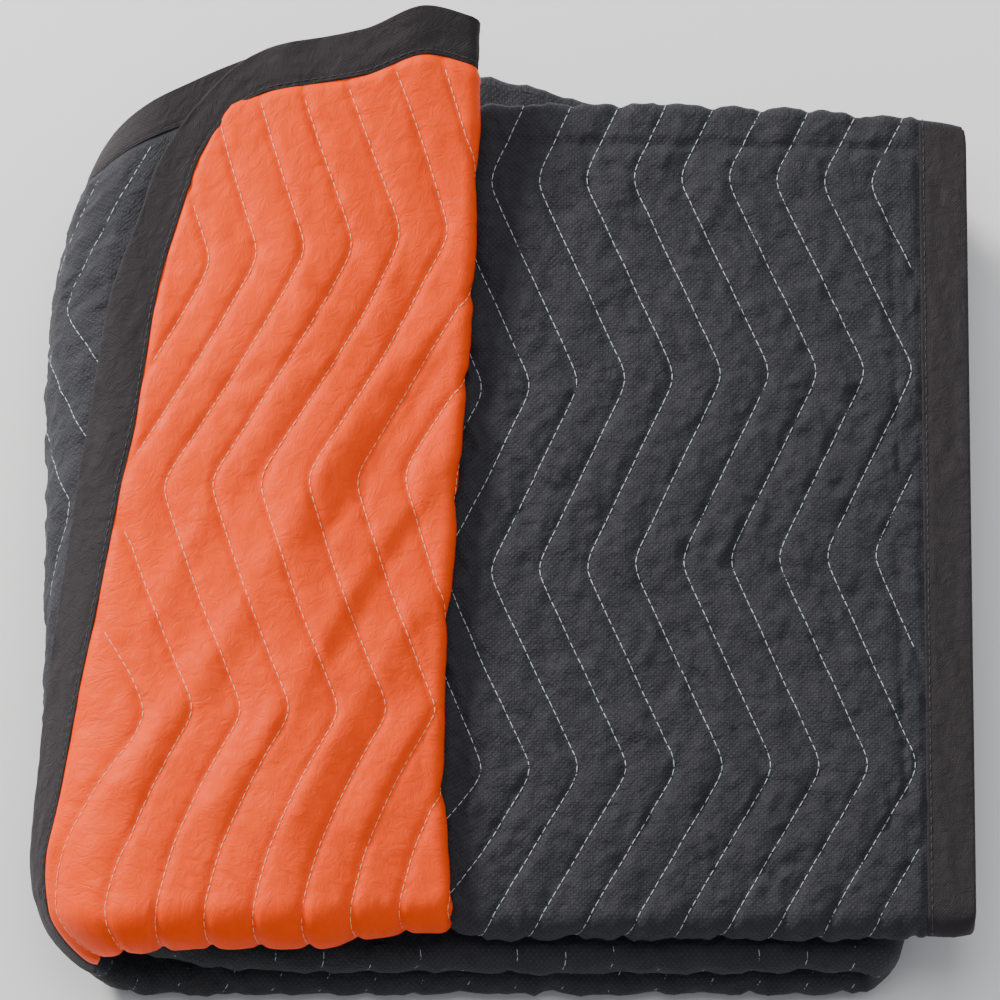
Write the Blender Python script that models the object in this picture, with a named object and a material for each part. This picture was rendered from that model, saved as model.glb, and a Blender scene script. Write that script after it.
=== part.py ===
"""A quilted moving pad, folded into a stack with its last end turned back.

The pad is one bound rectangle. Across its width it is folded into four layers, which leaves a
strip with two bound edges at the back. The strip is then folded to and fro into four plies, and
the top layer of the last ply is turned back on itself as a cuff.

A place on the pad is given by q, the distance along the strip from its bound end, by v, the
distance across the open pad, and by d, the height above the middle of the cloth, toward the
black face. Metres, +Z up, the front of the stack at -Y.
"""

import math

import bmesh
import bpy
import numpy as np
from mathutils import Matrix, Vector

MM = 0.001

# Cloth: half thickness, what each cloth keeps clear of the middle, and the space between layers.
HALF_CLOTH = 2.3 * MM
HALF_GAP = 0.15 * MM
HALF_PINCHED = 0.95 * MM
LAYER = 5.9 * MM
PUFF_CREST = 0.9 * MM
PUFF_SEAM = -0.7 * MM

# Binding tape, folded over the edge.
TAPE_WIDTH = 25.0 * MM
TAPE_THICK = 0.8 * MM
TAPE_GAP = 0.3 * MM
TAPE_END_GAP = 0.4 * MM
RAMP = 2.6 * MM

# Quilting: distance between needle lines and the sideways reach of their zigzag.
NEEDLE_PITCH = 25.9 * MM
ZIGZAG_REACH = 23.8 * MM

# Section across the strip: four layers, three turns.
OUTER_TURN = 1.5 * LAYER
INNER_TURN = 0.5 * LAYER
FLAT_LONG = 464.7 * MM
FLAT_SHORT = 459.4 * MM
V_FRONT = FLAT_LONG
V_SECOND = V_FRONT + math.pi * OUTER_TURN
V_BACK = V_SECOND + FLAT_SHORT
V_THIRD = V_BACK + math.pi * INNER_TURN
V_INNER = V_THIRD + FLAT_SHORT
V_FOURTH = V_INNER + math.pi * INNER_TURN
V_END = V_FOURTH + FLAT_LONG

# Track of the strip's middle, seen from the front: length of each run, and the turn made on it.
TIGHT = 12.3 * MM
WIDE = 3 * TIGHT
START_X = 254.0 * MM
START_Z = 5 * TIGHT - 1.0 * MM
TRACK = (
    # run, length, turn in radians
    ("upper ply", 443.0 * MM, 0.0),
    ("left inner turn", math.pi * TIGHT, math.pi),
    ("middle ply", 384.0 * MM, 0.0),
    ("right turn", math.pi * TIGHT, -math.pi),
    ("lower ply", 392.0 * MM, 0.0),
    ("left outer turn", math.pi * WIDE, -math.pi),
    ("top ply", 400.0 * MM, 0.0),
)

# Where the front turn, the back fold and the back edges lie along the strip.
PLY_EDGES = (
    # distance along the strip, front skin y, back fold y, back edge y
    (0 * MM, -236 * MM, 231 * MM, 229 * MM),
    (190 * MM, -236 * MM, 240 * MM, 232 * MM),
    (258 * MM, -236 * MM, 239 * MM, 232 * MM),
    (298 * MM, -223 * MM, 239 * MM, 232 * MM),
    (390 * MM, -224 * MM, 238 * MM, 232 * MM),
    (560 * MM, -247 * MM, 238 * MM, 232 * MM),
    (866 * MM, -247 * MM, 236 * MM, 230 * MM),
    (904 * MM, -251 * MM, 236 * MM, 230 * MM),
    (1296 * MM, -251 * MM, 238 * MM, 232 * MM),
    (1390 * MM, -246 * MM, 236 * MM, 240 * MM),
    (1440 * MM, -241 * MM, 236 * MM, 240 * MM),
)

# The last end: where its hidden layers stop, where its top layer is turned back.
HIDDEN_END_X = -115 * MM
CUFF_FOLD = (
    # v, x
    (0 * MM, -16 * MM),
    (140 * MM, -21 * MM),
    (232 * MM, -28.5 * MM),
    (312 * MM, -34 * MM),
    (390 * MM, -36.5 * MM),
    (430 * MM, -35 * MM),
    (464 * MM, -31 * MM),
)
CUFF_TURN = 4.0 * MM
CUFF_FRONT_SKIN = -228 * MM
CUFF_FRONT_TURN = 3.5 * MM
CUFF_DROP = 17.8 * MM
CUFF_DROP_X = (-125 * MM, -24 * MM)
CUFF_FRONT_END = 115 / 180

# Length of the turned back end, at distances from its back edge.
CUFF_CORNER = 66 * MM
CUFF_LENGTH = (
    # v, length from the fold
    (0 * MM, 172 * MM),
    (66 * MM, 178 * MM),
    (125 * MM, 186 * MM),
    (170 * MM, 188 * MM),
    (208 * MM, 189 * MM),
    (292 * MM, 193 * MM),
    (341 * MM, 198 * MM),
    (390 * MM, 204 * MM),
    (430 * MM, 215 * MM),
    (464 * MM, 226 * MM),
    (492 * MM, 238 * MM),
)

# The tape's share of its width in q there: round the side, q is measured on a smaller turn.
END_TAPE = (
    # v, share
    (50 * MM, 1.0),
    (125 * MM, 0.85),
    (230 * MM, 0.68),
)

# Corners of the stack in plan, rounded.
CORNERS = (
    # side x, side y, radius, corner x, corner y, lowest z, highest z
    (-1, -1, 62 * MM, -246 * MM, -246 * MM, -0.1, 1.0),
    (-1, 1, 150 * MM, -246 * MM, 240 * MM, -0.1, 1.0),
    (1, 1, 24 * MM, 254 * MM, 238 * MM, 0.048, 1.0),
    (1, -1, 14 * MM, 254 * MM, -238 * MM, 0.048, 1.0),
    (1, 1, 25 * MM, 218 * MM, 238 * MM, -0.1, 0.048),
    (1, -1, 25 * MM, 218 * MM, -244 * MM, -0.1, 0.048),
)
CORNER_FULLNESS = 0.32

# How far past its own end a corner or the curl goes on, as a share of its size.
PAST_END = 1.3

# The free back edge of the top layer curls up and reaches back.
CURL_BASE_Y = 40 * MM
REACH_BASE_Y = -110 * MM
CURL_EDGE_Y = 246 * MM
CURL_LOW_Z = 72.8 * MM
CURL_HIGH_Z = 73.6 * MM
CURL = (
    # x, rise, reach back
    (-215 * MM, 0 * MM, 0 * MM),
    (-175 * MM, 0 * MM, 8 * MM),
    (-135 * MM, 0 * MM, 18 * MM),
    (-104 * MM, 3 * MM, 23 * MM),
    (-74 * MM, 13 * MM, 28 * MM),
    (-38 * MM, 26 * MM, 40 * MM),
    (-10 * MM, 22 * MM, 34 * MM),
)

# The back folds of the two lower plies bulge out behind the top ply.
BULGE = (
    # x, reach back
    (-180 * MM, 0 * MM),
    (-120 * MM, 15 * MM),
    (-70 * MM, 29 * MM),
    (-15 * MM, 33 * MM),
    (5 * MM, 29 * MM),
    (22 * MM, 26 * MM),
    (38 * MM, 22 * MM),
    (54 * MM, 17 * MM),
    (68 * MM, 9 * MM),
    (90 * MM, 0 * MM),
)

# The middle of the stack's box in plan, and its underside: the part's origin.
STACK_CENTRE = (2.35 * MM, 14.95 * MM, 0.15 * MM)

# A face whose normal's z is above this lies level, and level faces this close to flat are joined.
LEVEL = 1.0 - 1e-7
JOINED_ANGLE = 0.0005

# Two places closer than this are one.
SAME_PLACE = 1e-6

# Turning points of the quilting zigzag, in v: sideways place as a share of its reach.
ZIGZAG = (
    # v, share
    (0 * MM, 0.9),
    (114 * MM, -1.0),
    (233 * MM, 1.4),
    (359 * MM, -1.0),
    (470 * MM, 1.35),
    (574 * MM, -1.0),
    (690 * MM, 1.0),
    (800 * MM, -1.0),
    (913 * MM, 1.0),
    (950 * MM, 0.3),
    (1010 * MM, 0.0),
)

# Rows of points across the open pad, between its folds.
FRONT_ROWS = tuple(v * MM for v in (48, 70, 114, 174, 233, 296, 359, 410, 440))
FRONT_TURN_ROWS = (0.32, CUFF_FRONT_END, 0.82)
SECOND_ROWS = tuple(v * MM for v in (515, 545, 574, 632, 690, 745, 800, 856, 913, 935))
THIRD_ROWS = tuple(y * MM for y in (22, 50, 90, 140, 230, 340, 420))
FOURTH_ROWS = tuple(y * MM for y in (430, 370, 240, 160, 110, 65))
BACK_TURN_STEPS = 3
INNER_TURN_STEPS = 2

# Columns of points along the strip.
HALF_PITCH = NEEDLE_PITCH / 2
UPPER_PLY_PUFFS = 21
UPPER_PLY_PLAIN = (340 * MM, 390 * MM)
INNER_LEFT_STEPS = 3
HIDDEN_PLY_STEPS = 11
RIGHT_TURN_STEPS = 4
SIDE_PUFFS = 12
TOP_PLY_START_X = -150 * MM
WEDGE_STEPS = 4
CUFF_TURN_STEPS = 3
CUFF_STEPS = 15

# Where the zigzag swings: along the top panel, and along the cuff as shares of its length.
PANEL_SWING = ((30 * MM, 90 * MM), (300 * MM, 380 * MM))
CUFF_SWING = ((0.0, 0.3), (0.7, 1.0))

# Near a corner of the pad the tape's inner edge is mitred, by this share of the distance.
MITRE_REACH = 60 * MM
MITRE = 0.02

COLOURS = {
    "face_cloth": (0.016, 0.017, 0.019, 1.0),
    "reverse_cloth": (0.92, 0.13, 0.01, 1.0),
    "binding": (0.012, 0.009, 0.008, 1.0),
}
CLOTH_ROUGHNESS = 0.8

RUN_STARTS = np.concatenate([[0.0], np.cumsum([length for _, length, _ in TRACK])])


def column(table, index):
    """One column of a table, as an array."""
    return np.array([row[index] for row in table], dtype=float)


def along_curve(x, table, index):
    """A table's column at x, on a smooth curve through its rows that never overshoots them."""
    at, value = column(table, 0), column(table, index)
    gap = np.diff(at)
    slope = np.diff(value) / gap
    tangent = np.zeros_like(value)
    rising = slope[:-1] * slope[1:] > 0
    tangent[1:-1][rising] = 2 * slope[:-1][rising] * slope[1:][rising] / (slope[:-1] + slope[1:])[rising]
    tangent[0], tangent[-1] = slope[0], slope[-1]
    x = np.clip(x, at[0], at[-1])
    k = np.clip(np.searchsorted(at, x, side="right") - 1, 0, len(gap) - 1)
    t = (x - at[k]) / gap[k]
    first = value[k] * (1 + 2 * t) * (1 - t) ** 2 + value[k + 1] * t**2 * (3 - 2 * t)
    return first + gap[k] * (tangent[k] * t * (1 - t) ** 2 - tangent[k + 1] * t**2 * (1 - t))


def smooth(x, low, high):
    """A soft step from 0 at low to 1 at high."""
    t = np.clip((x - low) / (high - low), 0.0, 1.0)
    return t * t * (3.0 - 2.0 * t)


def track(u):
    """Place and direction of the strip's middle at the distances u: x, z and the heading."""
    x, z, heading = START_X, START_Z, math.pi
    out_x, out_z, out_a = np.zeros_like(u), np.zeros_like(u), np.zeros_like(u)
    for start, (_, length, turn) in zip(RUN_STARTS, TRACK):
        inside = (u >= start) | (start == 0.0)
        s = u - start
        if turn:
            radius = length / turn
            a = heading + s / radius
            run_x = x + radius * (np.sin(a) - math.sin(heading))
            run_z = z - radius * (np.cos(a) - math.cos(heading))
            end = heading + turn
            x += radius * (math.sin(end) - math.sin(heading))
            z -= radius * (math.cos(end) - math.cos(heading))
        else:
            a = np.full_like(u, heading)
            run_x = x + s * math.cos(heading)
            run_z = z + s * math.sin(heading)
            end = heading
            x += length * math.cos(heading)
            z += length * math.sin(heading)
        out_x = np.where(inside, run_x, out_x)
        out_z = np.where(inside, run_z, out_z)
        out_a = np.where(inside, a, out_a)
        heading = end
    return out_x, out_z, out_a


def u_at(x):
    """Distance along the strip at which the top ply reaches x."""
    start_x, _, _ = track(np.array([RUN_STARTS[6]]))
    return RUN_STARTS[6] + x - start_x[0]


HIDDEN_END = u_at(HIDDEN_END_X)


def section(u, v):
    """The strip's section at u: y and height n of the point v, and the black face's direction."""
    front = along_curve(u, PLY_EDGES, 1)
    fold = along_curve(u, PLY_EDGES, 2)
    edge = along_curve(u, PLY_EDGES, 3)
    x, _, _ = track(u)
    low = (u > RUN_STARTS[1]) & (u < RUN_STARTS[5])
    fold = fold + np.where(low, along_curve(x, BULGE, 1), 0.0)
    over = smooth(u, HIDDEN_END, u_at(CUFF_FOLD[-1][1]))
    front = front + over * (CUFF_FRONT_SKIN - front)
    turn = OUTER_TURN + over * (CUFF_FRONT_TURN - OUTER_TURN)
    middle = front + turn + HALF_CLOTH
    back = fold - INNER_TURN - HALF_CLOTH
    y, n = np.zeros_like(u), np.zeros_like(u)
    my, mn = np.zeros_like(u), np.zeros_like(u)

    def flat(low_v, high_v, y0, y1, height, direction):
        """A level layer from y0 to y1, with the black face up (1) or down (-1)."""
        here = (v >= low_v - SAME_PLACE) & (v <= high_v + SAME_PLACE)
        t = (v - low_v) / (high_v - low_v)
        y[:] = np.where(here, y0 + t * (y1 - y0), y)
        n[:] = np.where(here, height, n)
        my[:] = np.where(here, 0.0, my)
        mn[:] = np.where(here, direction, mn)

    def turned(low_v, high_v, centre_y, centre_n, radius, side, first, outward):
        """A half turn that bulges to side (-1 front, 1 back) and starts at height sign first."""
        here = (v > low_v + SAME_PLACE) & (v < high_v - SAME_PLACE)
        a = math.pi * (v - low_v) / (high_v - low_v)
        across, up = side * np.sin(a), first * np.cos(a)
        y[:] = np.where(here, centre_y + radius * across, y)
        n[:] = np.where(here, centre_n + radius * up, n)
        my[:] = np.where(here, outward * across, my)
        mn[:] = np.where(here, outward * up, mn)

    flat(-TAPE_WIDTH, 0.0, edge + TAPE_WIDTH, edge, OUTER_TURN, 1.0)
    flat(0.0, V_FRONT, edge, middle, OUTER_TURN, 1.0)
    turned(V_FRONT, V_SECOND, middle, OUTER_TURN - turn, turn, -1.0, 1.0, 1.0)
    flat(V_SECOND, V_BACK, middle, back, -OUTER_TURN, -1.0)
    turned(V_BACK, V_THIRD, back, -LAYER, INNER_TURN, 1.0, -1.0, 1.0)
    flat(V_THIRD, V_INNER, back, middle, -INNER_TURN, 1.0)
    turned(V_INNER, V_FOURTH, middle, 0.0, INNER_TURN, -1.0, -1.0, -1.0)
    flat(V_FOURTH, V_END, middle, edge, INNER_TURN, -1.0)
    flat(V_END, V_END + TAPE_WIDTH, edge, edge + TAPE_WIDTH, INNER_TURN, -1.0)
    return y, n, my, mn


def base_point(u, v, height):
    """A point at height above the middle of the strip's cloth at (u, v), before it settles."""
    x, z, a = track(u)
    y, n, my, mn = section(u, v)
    away = n + height * mn
    x = x - np.sin(a) * away
    z = z + np.cos(a) * away
    z = z - CUFF_DROP * smooth(x, *CUFF_DROP_X) * (u > RUN_STARTS[6])
    return np.stack([x, y + height * my, z], axis=-1)


def fold_at(v):
    """Distance along the strip at which its top layer is turned back, at v."""
    return u_at(along_curve(v, CUFF_FOLD, 1))


def cuff_length(v):
    """Length of the turned back end at v, with its rounded corner."""
    length = along_curve(v, CUFF_LENGTH, 1)
    below = np.clip(CUFF_CORNER - v, 0.0, CUFF_CORNER)
    return length - CUFF_CORNER + np.sqrt(CUFF_CORNER**2 - below**2)


def end_tape(v):
    """The tape's width in q at the turned back end: less where it lies round the stack's side."""
    return TAPE_WIDTH * along_curve(v, END_TAPE, 1)


def strip_end(v):
    """The largest q at v: the bound end of the turned back part."""
    return fold_at(v) + math.pi * CUFF_TURN + cuff_length(v)


def settle(p, q):
    """Gives the stack its rounded corners and its curled edge."""
    p = p.copy()
    x, y, z = p[..., 0].copy(), p[..., 1].copy(), p[..., 2].copy()
    for sx, sy, radius, cx, cy, low, high in CORNERS:
        here = (z > low) & (z <= high)
        dx = np.clip((sx * x - (sx * cx - radius)) / radius, 0.0, PAST_END)
        dy = np.clip((sy * y - (sy * cy - radius)) / radius, 0.0, PAST_END)
        new_x = sx * (sx * cx - radius + radius * dx * np.sqrt(1 - CORNER_FULLNESS * dy * dy))
        new_y = sy * (sy * cy - radius + radius * dy * np.sqrt(1 - CORNER_FULLNESS * dx * dx))
        inside = here & (dx > 0) & (dy > 0)
        x, y = np.where(inside, new_x, x), np.where(inside, new_y, y)
    raised = smooth(z, CURL_LOW_Z, CURL_HIGH_Z) * (q > RUN_STARTS[5])
    bent = np.clip((y - CURL_BASE_Y) / (CURL_EDGE_Y - CURL_BASE_Y), 0.0, PAST_END) ** 2
    rise = along_curve(x, CURL, 1)
    reach = along_curve(x, CURL, 2)
    back = smooth(y, REACH_BASE_Y, CURL_EDGE_Y)
    p[..., 0] = x
    p[..., 1] = y + reach * back * raised
    p[..., 2] = z + rise * bent * raised
    return p


def pad_point(q, v, d):
    """The point of the folded pad at q, v and d."""
    q, v, d = np.broadcast_arrays(np.asarray(q, float), np.asarray(v, float), np.asarray(d, float))
    fold = fold_at(v)
    over = q - fold
    turn_length = math.pi * CUFF_TURN
    a = np.clip(over / CUFF_TURN, 0.0, math.pi)
    bent = over > 0.0
    u = np.where(bent, fold + (CUFF_TURN - d) * np.sin(a), q)
    height = np.where(bent, CUFF_TURN - (CUFF_TURN - d) * np.cos(a), d)
    returned = over > turn_length
    u = np.where(returned, fold - (over - turn_length), u)
    height = np.where(returned, 2 * CUFF_TURN - d, height)
    return settle(base_point(u, v, height), q)


def steps(low, high, count):
    """Count even steps from low to high, without low."""
    return [low + (high - low) * k / count for k in range(1, count + 1)]


def row_places():
    """The values of v at which the cloth has points, finest where it turns or is quilted."""
    turn = V_SECOND - V_FRONT
    rows = [0.0, TAPE_WIDTH + TAPE_END_GAP, TAPE_WIDTH + RAMP, *FRONT_ROWS, V_FRONT]
    rows += [V_FRONT + turn * share for share in FRONT_TURN_ROWS]
    rows += [V_SECOND, *SECOND_ROWS, V_BACK]
    rows += steps(V_BACK, V_THIRD, BACK_TURN_STEPS)
    rows += [V_THIRD + y for y in THIRD_ROWS] + [V_INNER]
    rows += steps(V_INNER, V_FOURTH, INNER_TURN_STEPS)
    rows += [V_END - y for y in FOURTH_ROWS]
    rows += [V_END - TAPE_WIDTH - RAMP, V_END - TAPE_WIDTH - TAPE_END_GAP, V_END]
    return np.array(rows)


def last_cuff_row(v):
    """The row at which the layers that go on into the cuff end, on the front turn."""
    end = V_FRONT + (V_SECOND - V_FRONT) * CUFF_FRONT_END
    return int(np.argmin(abs(v - end)))


class Columns:
    """The columns of points along the strip: their place at each v, and their part in the puffs."""

    def __init__(self):
        first = TAPE_WIDTH + RAMP
        r = RUN_STARTS
        self.kind, self.place, self.puff = [], [], []
        self.add("strip", [0.0, TAPE_WIDTH + TAPE_END_GAP, first])
        self.add("strip", [first + HALF_PITCH * k for k in range(1, UPPER_PLY_PUFFS + 1)], "top", 1)
        self.add("strip", [*UPPER_PLY_PLAIN, r[1]])
        self.add("strip", steps(r[1], r[2], INNER_LEFT_STEPS))
        self.add("strip", steps(r[2], r[3], HIDDEN_PLY_STEPS))
        self.add("strip", steps(r[3], r[4], RIGHT_TURN_STEPS))
        self.add("strip", steps(r[4], r[5], HIDDEN_PLY_STEPS))
        self.add("strip", [r[5] + HALF_PITCH * k for k in range(1, SIDE_PUFFS + 1)], "side")
        self.add("strip", [u_at(TOP_PLY_START_X), HIDDEN_END])
        self.last_full = len(self.place) - 1
        self.add("wedge", steps(0.0, 1.0, WEDGE_STEPS))
        self.add("turn", steps(0.0, math.pi, CUFF_TURN_STEPS))
        self.add("cuff", steps(0.0, 1.0, CUFF_STEPS)[:-1], "cuff", 1)
        self.add("cuff end", [(1.0, RAMP), (1.0, TAPE_END_GAP), (0.0, 0.0)])

    def add(self, kind, places, zone=None, first=0):
        """Adds columns of one kind: where they are in a quilted zone, seam and crest alternate."""
        for k, place in enumerate(places):
            self.kind.append(kind)
            self.place.append(place)
            self.puff.append((zone, (k + first) % 2) if zone else (None, 0))

    def q(self, index, v):
        """The place of a column at the values v."""
        kind, place = self.kind[index], self.place[index]
        shift = ZIGZAG_REACH * np.interp(v, column(ZIGZAG, 0), column(ZIGZAG, 1))
        fold = fold_at(v)
        if kind == "strip":
            begin, end = PANEL_SWING
            return place + shift * smooth(place, *begin) * (1 - smooth(place, *end))
        if kind == "wedge":
            return HIDDEN_END + place * (fold - HIDDEN_END)
        if kind == "turn":
            return fold + CUFF_TURN * place
        start = fold + math.pi * CUFF_TURN
        length = cuff_length(v)
        if kind == "cuff":
            begin, end = CUFF_SWING
            swing = shift * smooth(place, *begin) * (1 - smooth(place, *end))
            return start + place * (length - end_tape(v) - RAMP) + swing
        return start + length - place[0] * end_tape(v) - place[1]


def pinched(q, v):
    """Whether the cloth is pressed thin under the binding at (q, v)."""
    reach = TAPE_WIDTH + TAPE_END_GAP + SAME_PLACE
    across = (v <= reach) | (v >= V_END - reach)
    return across | (q <= reach) | (q >= strip_end(v) - end_tape(v) - TAPE_END_GAP - SAME_PLACE)


def exposed(zone, v):
    """Whether the row v of a zone shows on the outside of the stack."""
    top = (v >= V_SECOND) & (v <= V_BACK)
    first = (v >= TAPE_WIDTH + RAMP) & (v <= V_FRONT)
    return {"top": top, "side": first, "cuff": first}.get(zone, np.zeros_like(v, bool))


def build_cloth(name, columns, side):
    """One of the two cloths as a closed solid: side is 1 for the black face, -1 for the other."""
    v = row_places()
    last_row = last_cuff_row(v)
    q = np.stack([columns.q(i, v) for i in range(len(columns.place))])
    vv = np.broadcast_to(v, q.shape)
    depth = np.where(pinched(q, vv), HALF_PINCHED, HALF_CLOTH)
    shown = {1: ("top", "side"), -1: ("cuff",)}[side]
    for i, (zone, seam_or_crest) in enumerate(columns.puff):
        if zone in shown:
            puffed = exposed(zone, v) & ~pinched(q[i], v)
            if zone == "side":
                puffed &= q[i] < fold_at(v) - cuff_length(v) - HALF_PITCH
            depth[i] += np.where(puffed, PUFF_CREST if seam_or_crest else PUFF_SEAM, 0.0)
    outer = pad_point(q, vv, side * depth)
    inner = pad_point(q, vv, np.full_like(q, side * HALF_GAP))
    bm = bmesh.new()
    corners = {}

    def vertex(i, j, layer):
        """The point of column i and row j, on the outside (1) or the inside (0) of the cloth."""
        if (i, j, layer) not in corners:
            source = outer if layer else inner
            corners[i, j, layer] = bm.verts.new(source[i, j])
        return corners[i, j, layer]

    edges = {}
    for i in range(len(q) - 1):
        rows = len(v) - 1 if i < columns.last_full else last_row
        for j in range(rows):
            loop = [(i, j), (i + 1, j), (i + 1, j + 1), (i, j + 1)]
            for half in (loop[:3], [loop[0], *loop[2:]]):
                bm.faces.new([vertex(a, b, 1) for a, b in half])
                bm.faces.new([vertex(a, b, 0) for a, b in reversed(half)])
            for a, b in zip(loop, loop[1:] + loop[:1]):
                key = (min(a, b), max(a, b))
                edges[key] = None if key in edges else (a, b)
    for pair in edges.values():
        if pair:
            a, b = pair
            bm.faces.new([vertex(*b, 1), vertex(*a, 1), vertex(*a, 0), vertex(*b, 0)])
    return finish(name, bm)


def mitred(at, low_edge):
    """The place of the tape's inner edge beside at, drawn in where a corner of the pad is near."""
    near = at < MITRE_REACH
    return max(at, low_edge + MITRE * at) if near else at


def edge_stations(columns):
    """Places along the bound edge, each with its partner one tape width in from it."""
    v = row_places()
    end = len(columns.place) - 1
    out, into, from_inside = [], [], []

    def put(q, at_v, inner_q, inner_v, along_end):
        """Adds one place on the edge, and its partner."""
        out.append((float(q), float(at_v)))
        into.append((float(inner_q), float(inner_v)))
        from_inside.append(along_end)

    for i in range(columns.last_full, 0, -1):
        q = columns.q(i, np.array([V_END]))[0]
        put(q, V_END, max(q, TAPE_WIDTH + MITRE * q), V_END - TAPE_WIDTH, False)
    for at_v in v[::-1]:
        inner_v = V_END - mitred(V_END - mitred(at_v, TAPE_WIDTH), TAPE_WIDTH)
        put(0.0, at_v, TAPE_WIDTH, inner_v, True)
    for i in range(1, end + 1):
        if columns.kind[i] == "cuff end" and i < end:
            continue
        q = columns.q(i, np.array([0.0]))[0]
        inner_q = columns.q(i, np.array([TAPE_WIDTH]))[0]
        if i == end:
            inner_q -= end_tape(TAPE_WIDTH)
        put(q, 0.0, max(inner_q, TAPE_WIDTH + MITRE * q), TAPE_WIDTH, False)
    for at_v in v[1 : last_cuff_row(v) + 1]:
        inner_v = mitred(at_v, TAPE_WIDTH)
        put(strip_end(at_v), at_v, strip_end(inner_v) - end_tape(inner_v), inner_v, True)
    return np.array(out), np.array(into), from_inside


def build_binding(columns):
    """The tape round the pad's edge, open where the pad's hidden edges aren't followed."""
    out, into, from_inside = edge_stations(columns)
    across = into - out
    profile = (
        # share of the tape's width, height above the cloth's middle
        (1.0, HALF_CLOTH),
        (-TAPE_THICK / TAPE_WIDTH, HALF_CLOTH),
        (-TAPE_THICK / TAPE_WIDTH, -HALF_CLOTH),
        (1.0, -HALF_CLOTH),
        (1.0, -HALF_CLOTH + TAPE_THICK),
        (-TAPE_GAP / TAPE_WIDTH, -HALF_CLOTH + TAPE_THICK),
        (-TAPE_GAP / TAPE_WIDTH, HALF_CLOTH - TAPE_THICK),
        (1.0, HALF_CLOTH - TAPE_THICK),
    )
    bm = bmesh.new()
    rings = []
    for share, d in profile:
        at = out + across * share
        rings.append([bm.verts.new(p) for p in pad_point(at[:, 0], at[:, 1], d)])
    count = len(profile)
    for k in range(len(out) - 1):
        for c in range(count):
            e = (c + 1) % count
            near, far = rings[c], rings[e]
            inner_first = profile[c][0] > profile[e][0]
            if inner_first == from_inside[k]:
                bm.faces.new([near[k], far[k], far[k + 1]])
                bm.faces.new([near[k], far[k + 1], near[k + 1]])
            else:
                bm.faces.new([near[k], far[k], near[k + 1]])
                bm.faces.new([far[k], far[k + 1], near[k + 1]])
    bm.faces.new([rings[c][0] for c in reversed(range(count))])
    bm.faces.new([rings[c][-1] for c in range(count)])
    return finish("binding", bm)


def finish(name, bm):
    """Joins the flat faces that need no points inside and makes the object."""
    bmesh.ops.recalc_face_normals(bm, faces=bm.faces)
    level = {face for face in bm.faces if abs(face.normal.z) > LEVEL}
    edges = [edge for edge in bm.edges if level.issuperset(edge.link_faces)]
    verts = [vert for vert in bm.verts if level.issuperset(vert.link_faces)]
    bmesh.ops.dissolve_limit(bm, angle_limit=JOINED_ANGLE, verts=verts, edges=edges)
    mesh = bpy.data.meshes.new(name)
    bm.to_mesh(mesh)
    bm.free()
    obj = bpy.data.objects.new(name, mesh)
    bpy.context.scene.collection.objects.link(obj)
    obj.data.materials.append(cloth_material(name))
    return obj


def cloth_material(name):
    """A matt material in the cloth's own colour."""
    material = bpy.data.materials.new(name)
    material.use_nodes = True
    shader = material.node_tree.nodes["Principled BSDF"]
    shader.inputs["Base Color"].default_value = COLOURS[name]
    shader.inputs["Roughness"].default_value = CLOTH_ROUGHNESS
    shader.inputs["Metallic"].default_value = 0.0
    return material


def main():
    """Empties the scene and builds the folded pad."""
    for obj in list(bpy.data.objects):
        bpy.data.objects.remove(obj)
    columns = Columns()
    pieces = [
        build_cloth("face_cloth", columns, 1),
        build_cloth("reverse_cloth", columns, -1),
        build_binding(columns),
    ]
    for piece in pieces:
        piece.data.transform(Matrix.Translation(-Vector(STACK_CENTRE)))


main()
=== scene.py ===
import math

import bpy
import numpy as np
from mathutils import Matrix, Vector


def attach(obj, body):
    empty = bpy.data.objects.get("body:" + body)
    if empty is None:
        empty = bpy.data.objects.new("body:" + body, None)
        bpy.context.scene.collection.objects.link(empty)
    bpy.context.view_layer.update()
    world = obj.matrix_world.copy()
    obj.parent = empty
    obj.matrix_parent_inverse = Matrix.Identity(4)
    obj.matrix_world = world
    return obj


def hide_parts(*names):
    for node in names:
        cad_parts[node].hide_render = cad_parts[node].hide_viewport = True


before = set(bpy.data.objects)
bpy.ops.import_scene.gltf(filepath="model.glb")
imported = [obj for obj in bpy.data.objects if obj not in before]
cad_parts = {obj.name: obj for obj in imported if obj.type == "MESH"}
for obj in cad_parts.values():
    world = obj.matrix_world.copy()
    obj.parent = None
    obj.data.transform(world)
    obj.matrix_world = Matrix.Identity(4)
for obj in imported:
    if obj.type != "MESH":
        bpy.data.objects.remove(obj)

bl_info = {
    "name": "Folded moving pad",
    "version": (1, 0, 0),
    "blender": (4, 5, 0),
    "location": "View3D > Sidebar > Moving pad",
    "description": "Dresses a folded, quilted moving pad: cloths, binding, quilting thread and stage",
    "category": "Object",
}

# A place on the pad is given by q, the distance along the strip from its bound end, by v, the
# distance across the open pad, and by d, the height above the middle of the cloth, toward the
# black face. The fold map below is the one that the solids are made by. Metres, +Z up.

MM = 0.001

# Cloth and its layers.
HALF_CLOTH = 2.3 * MM
HALF_PINCHED = 0.95 * MM
LAYER = 5.9 * MM
LEAST_HALF = 0.35 * MM

# Quilting: distance between needle lines, reach of their zigzag, and the first line's place.
NEEDLE_PITCH = 25.9 * MM
ZIGZAG_REACH = 25.0 * MM
TAPE_WIDTH = 25.0 * MM
RAMP = 2.6 * MM
FIRST_LINE = TAPE_WIDTH + RAMP

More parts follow.
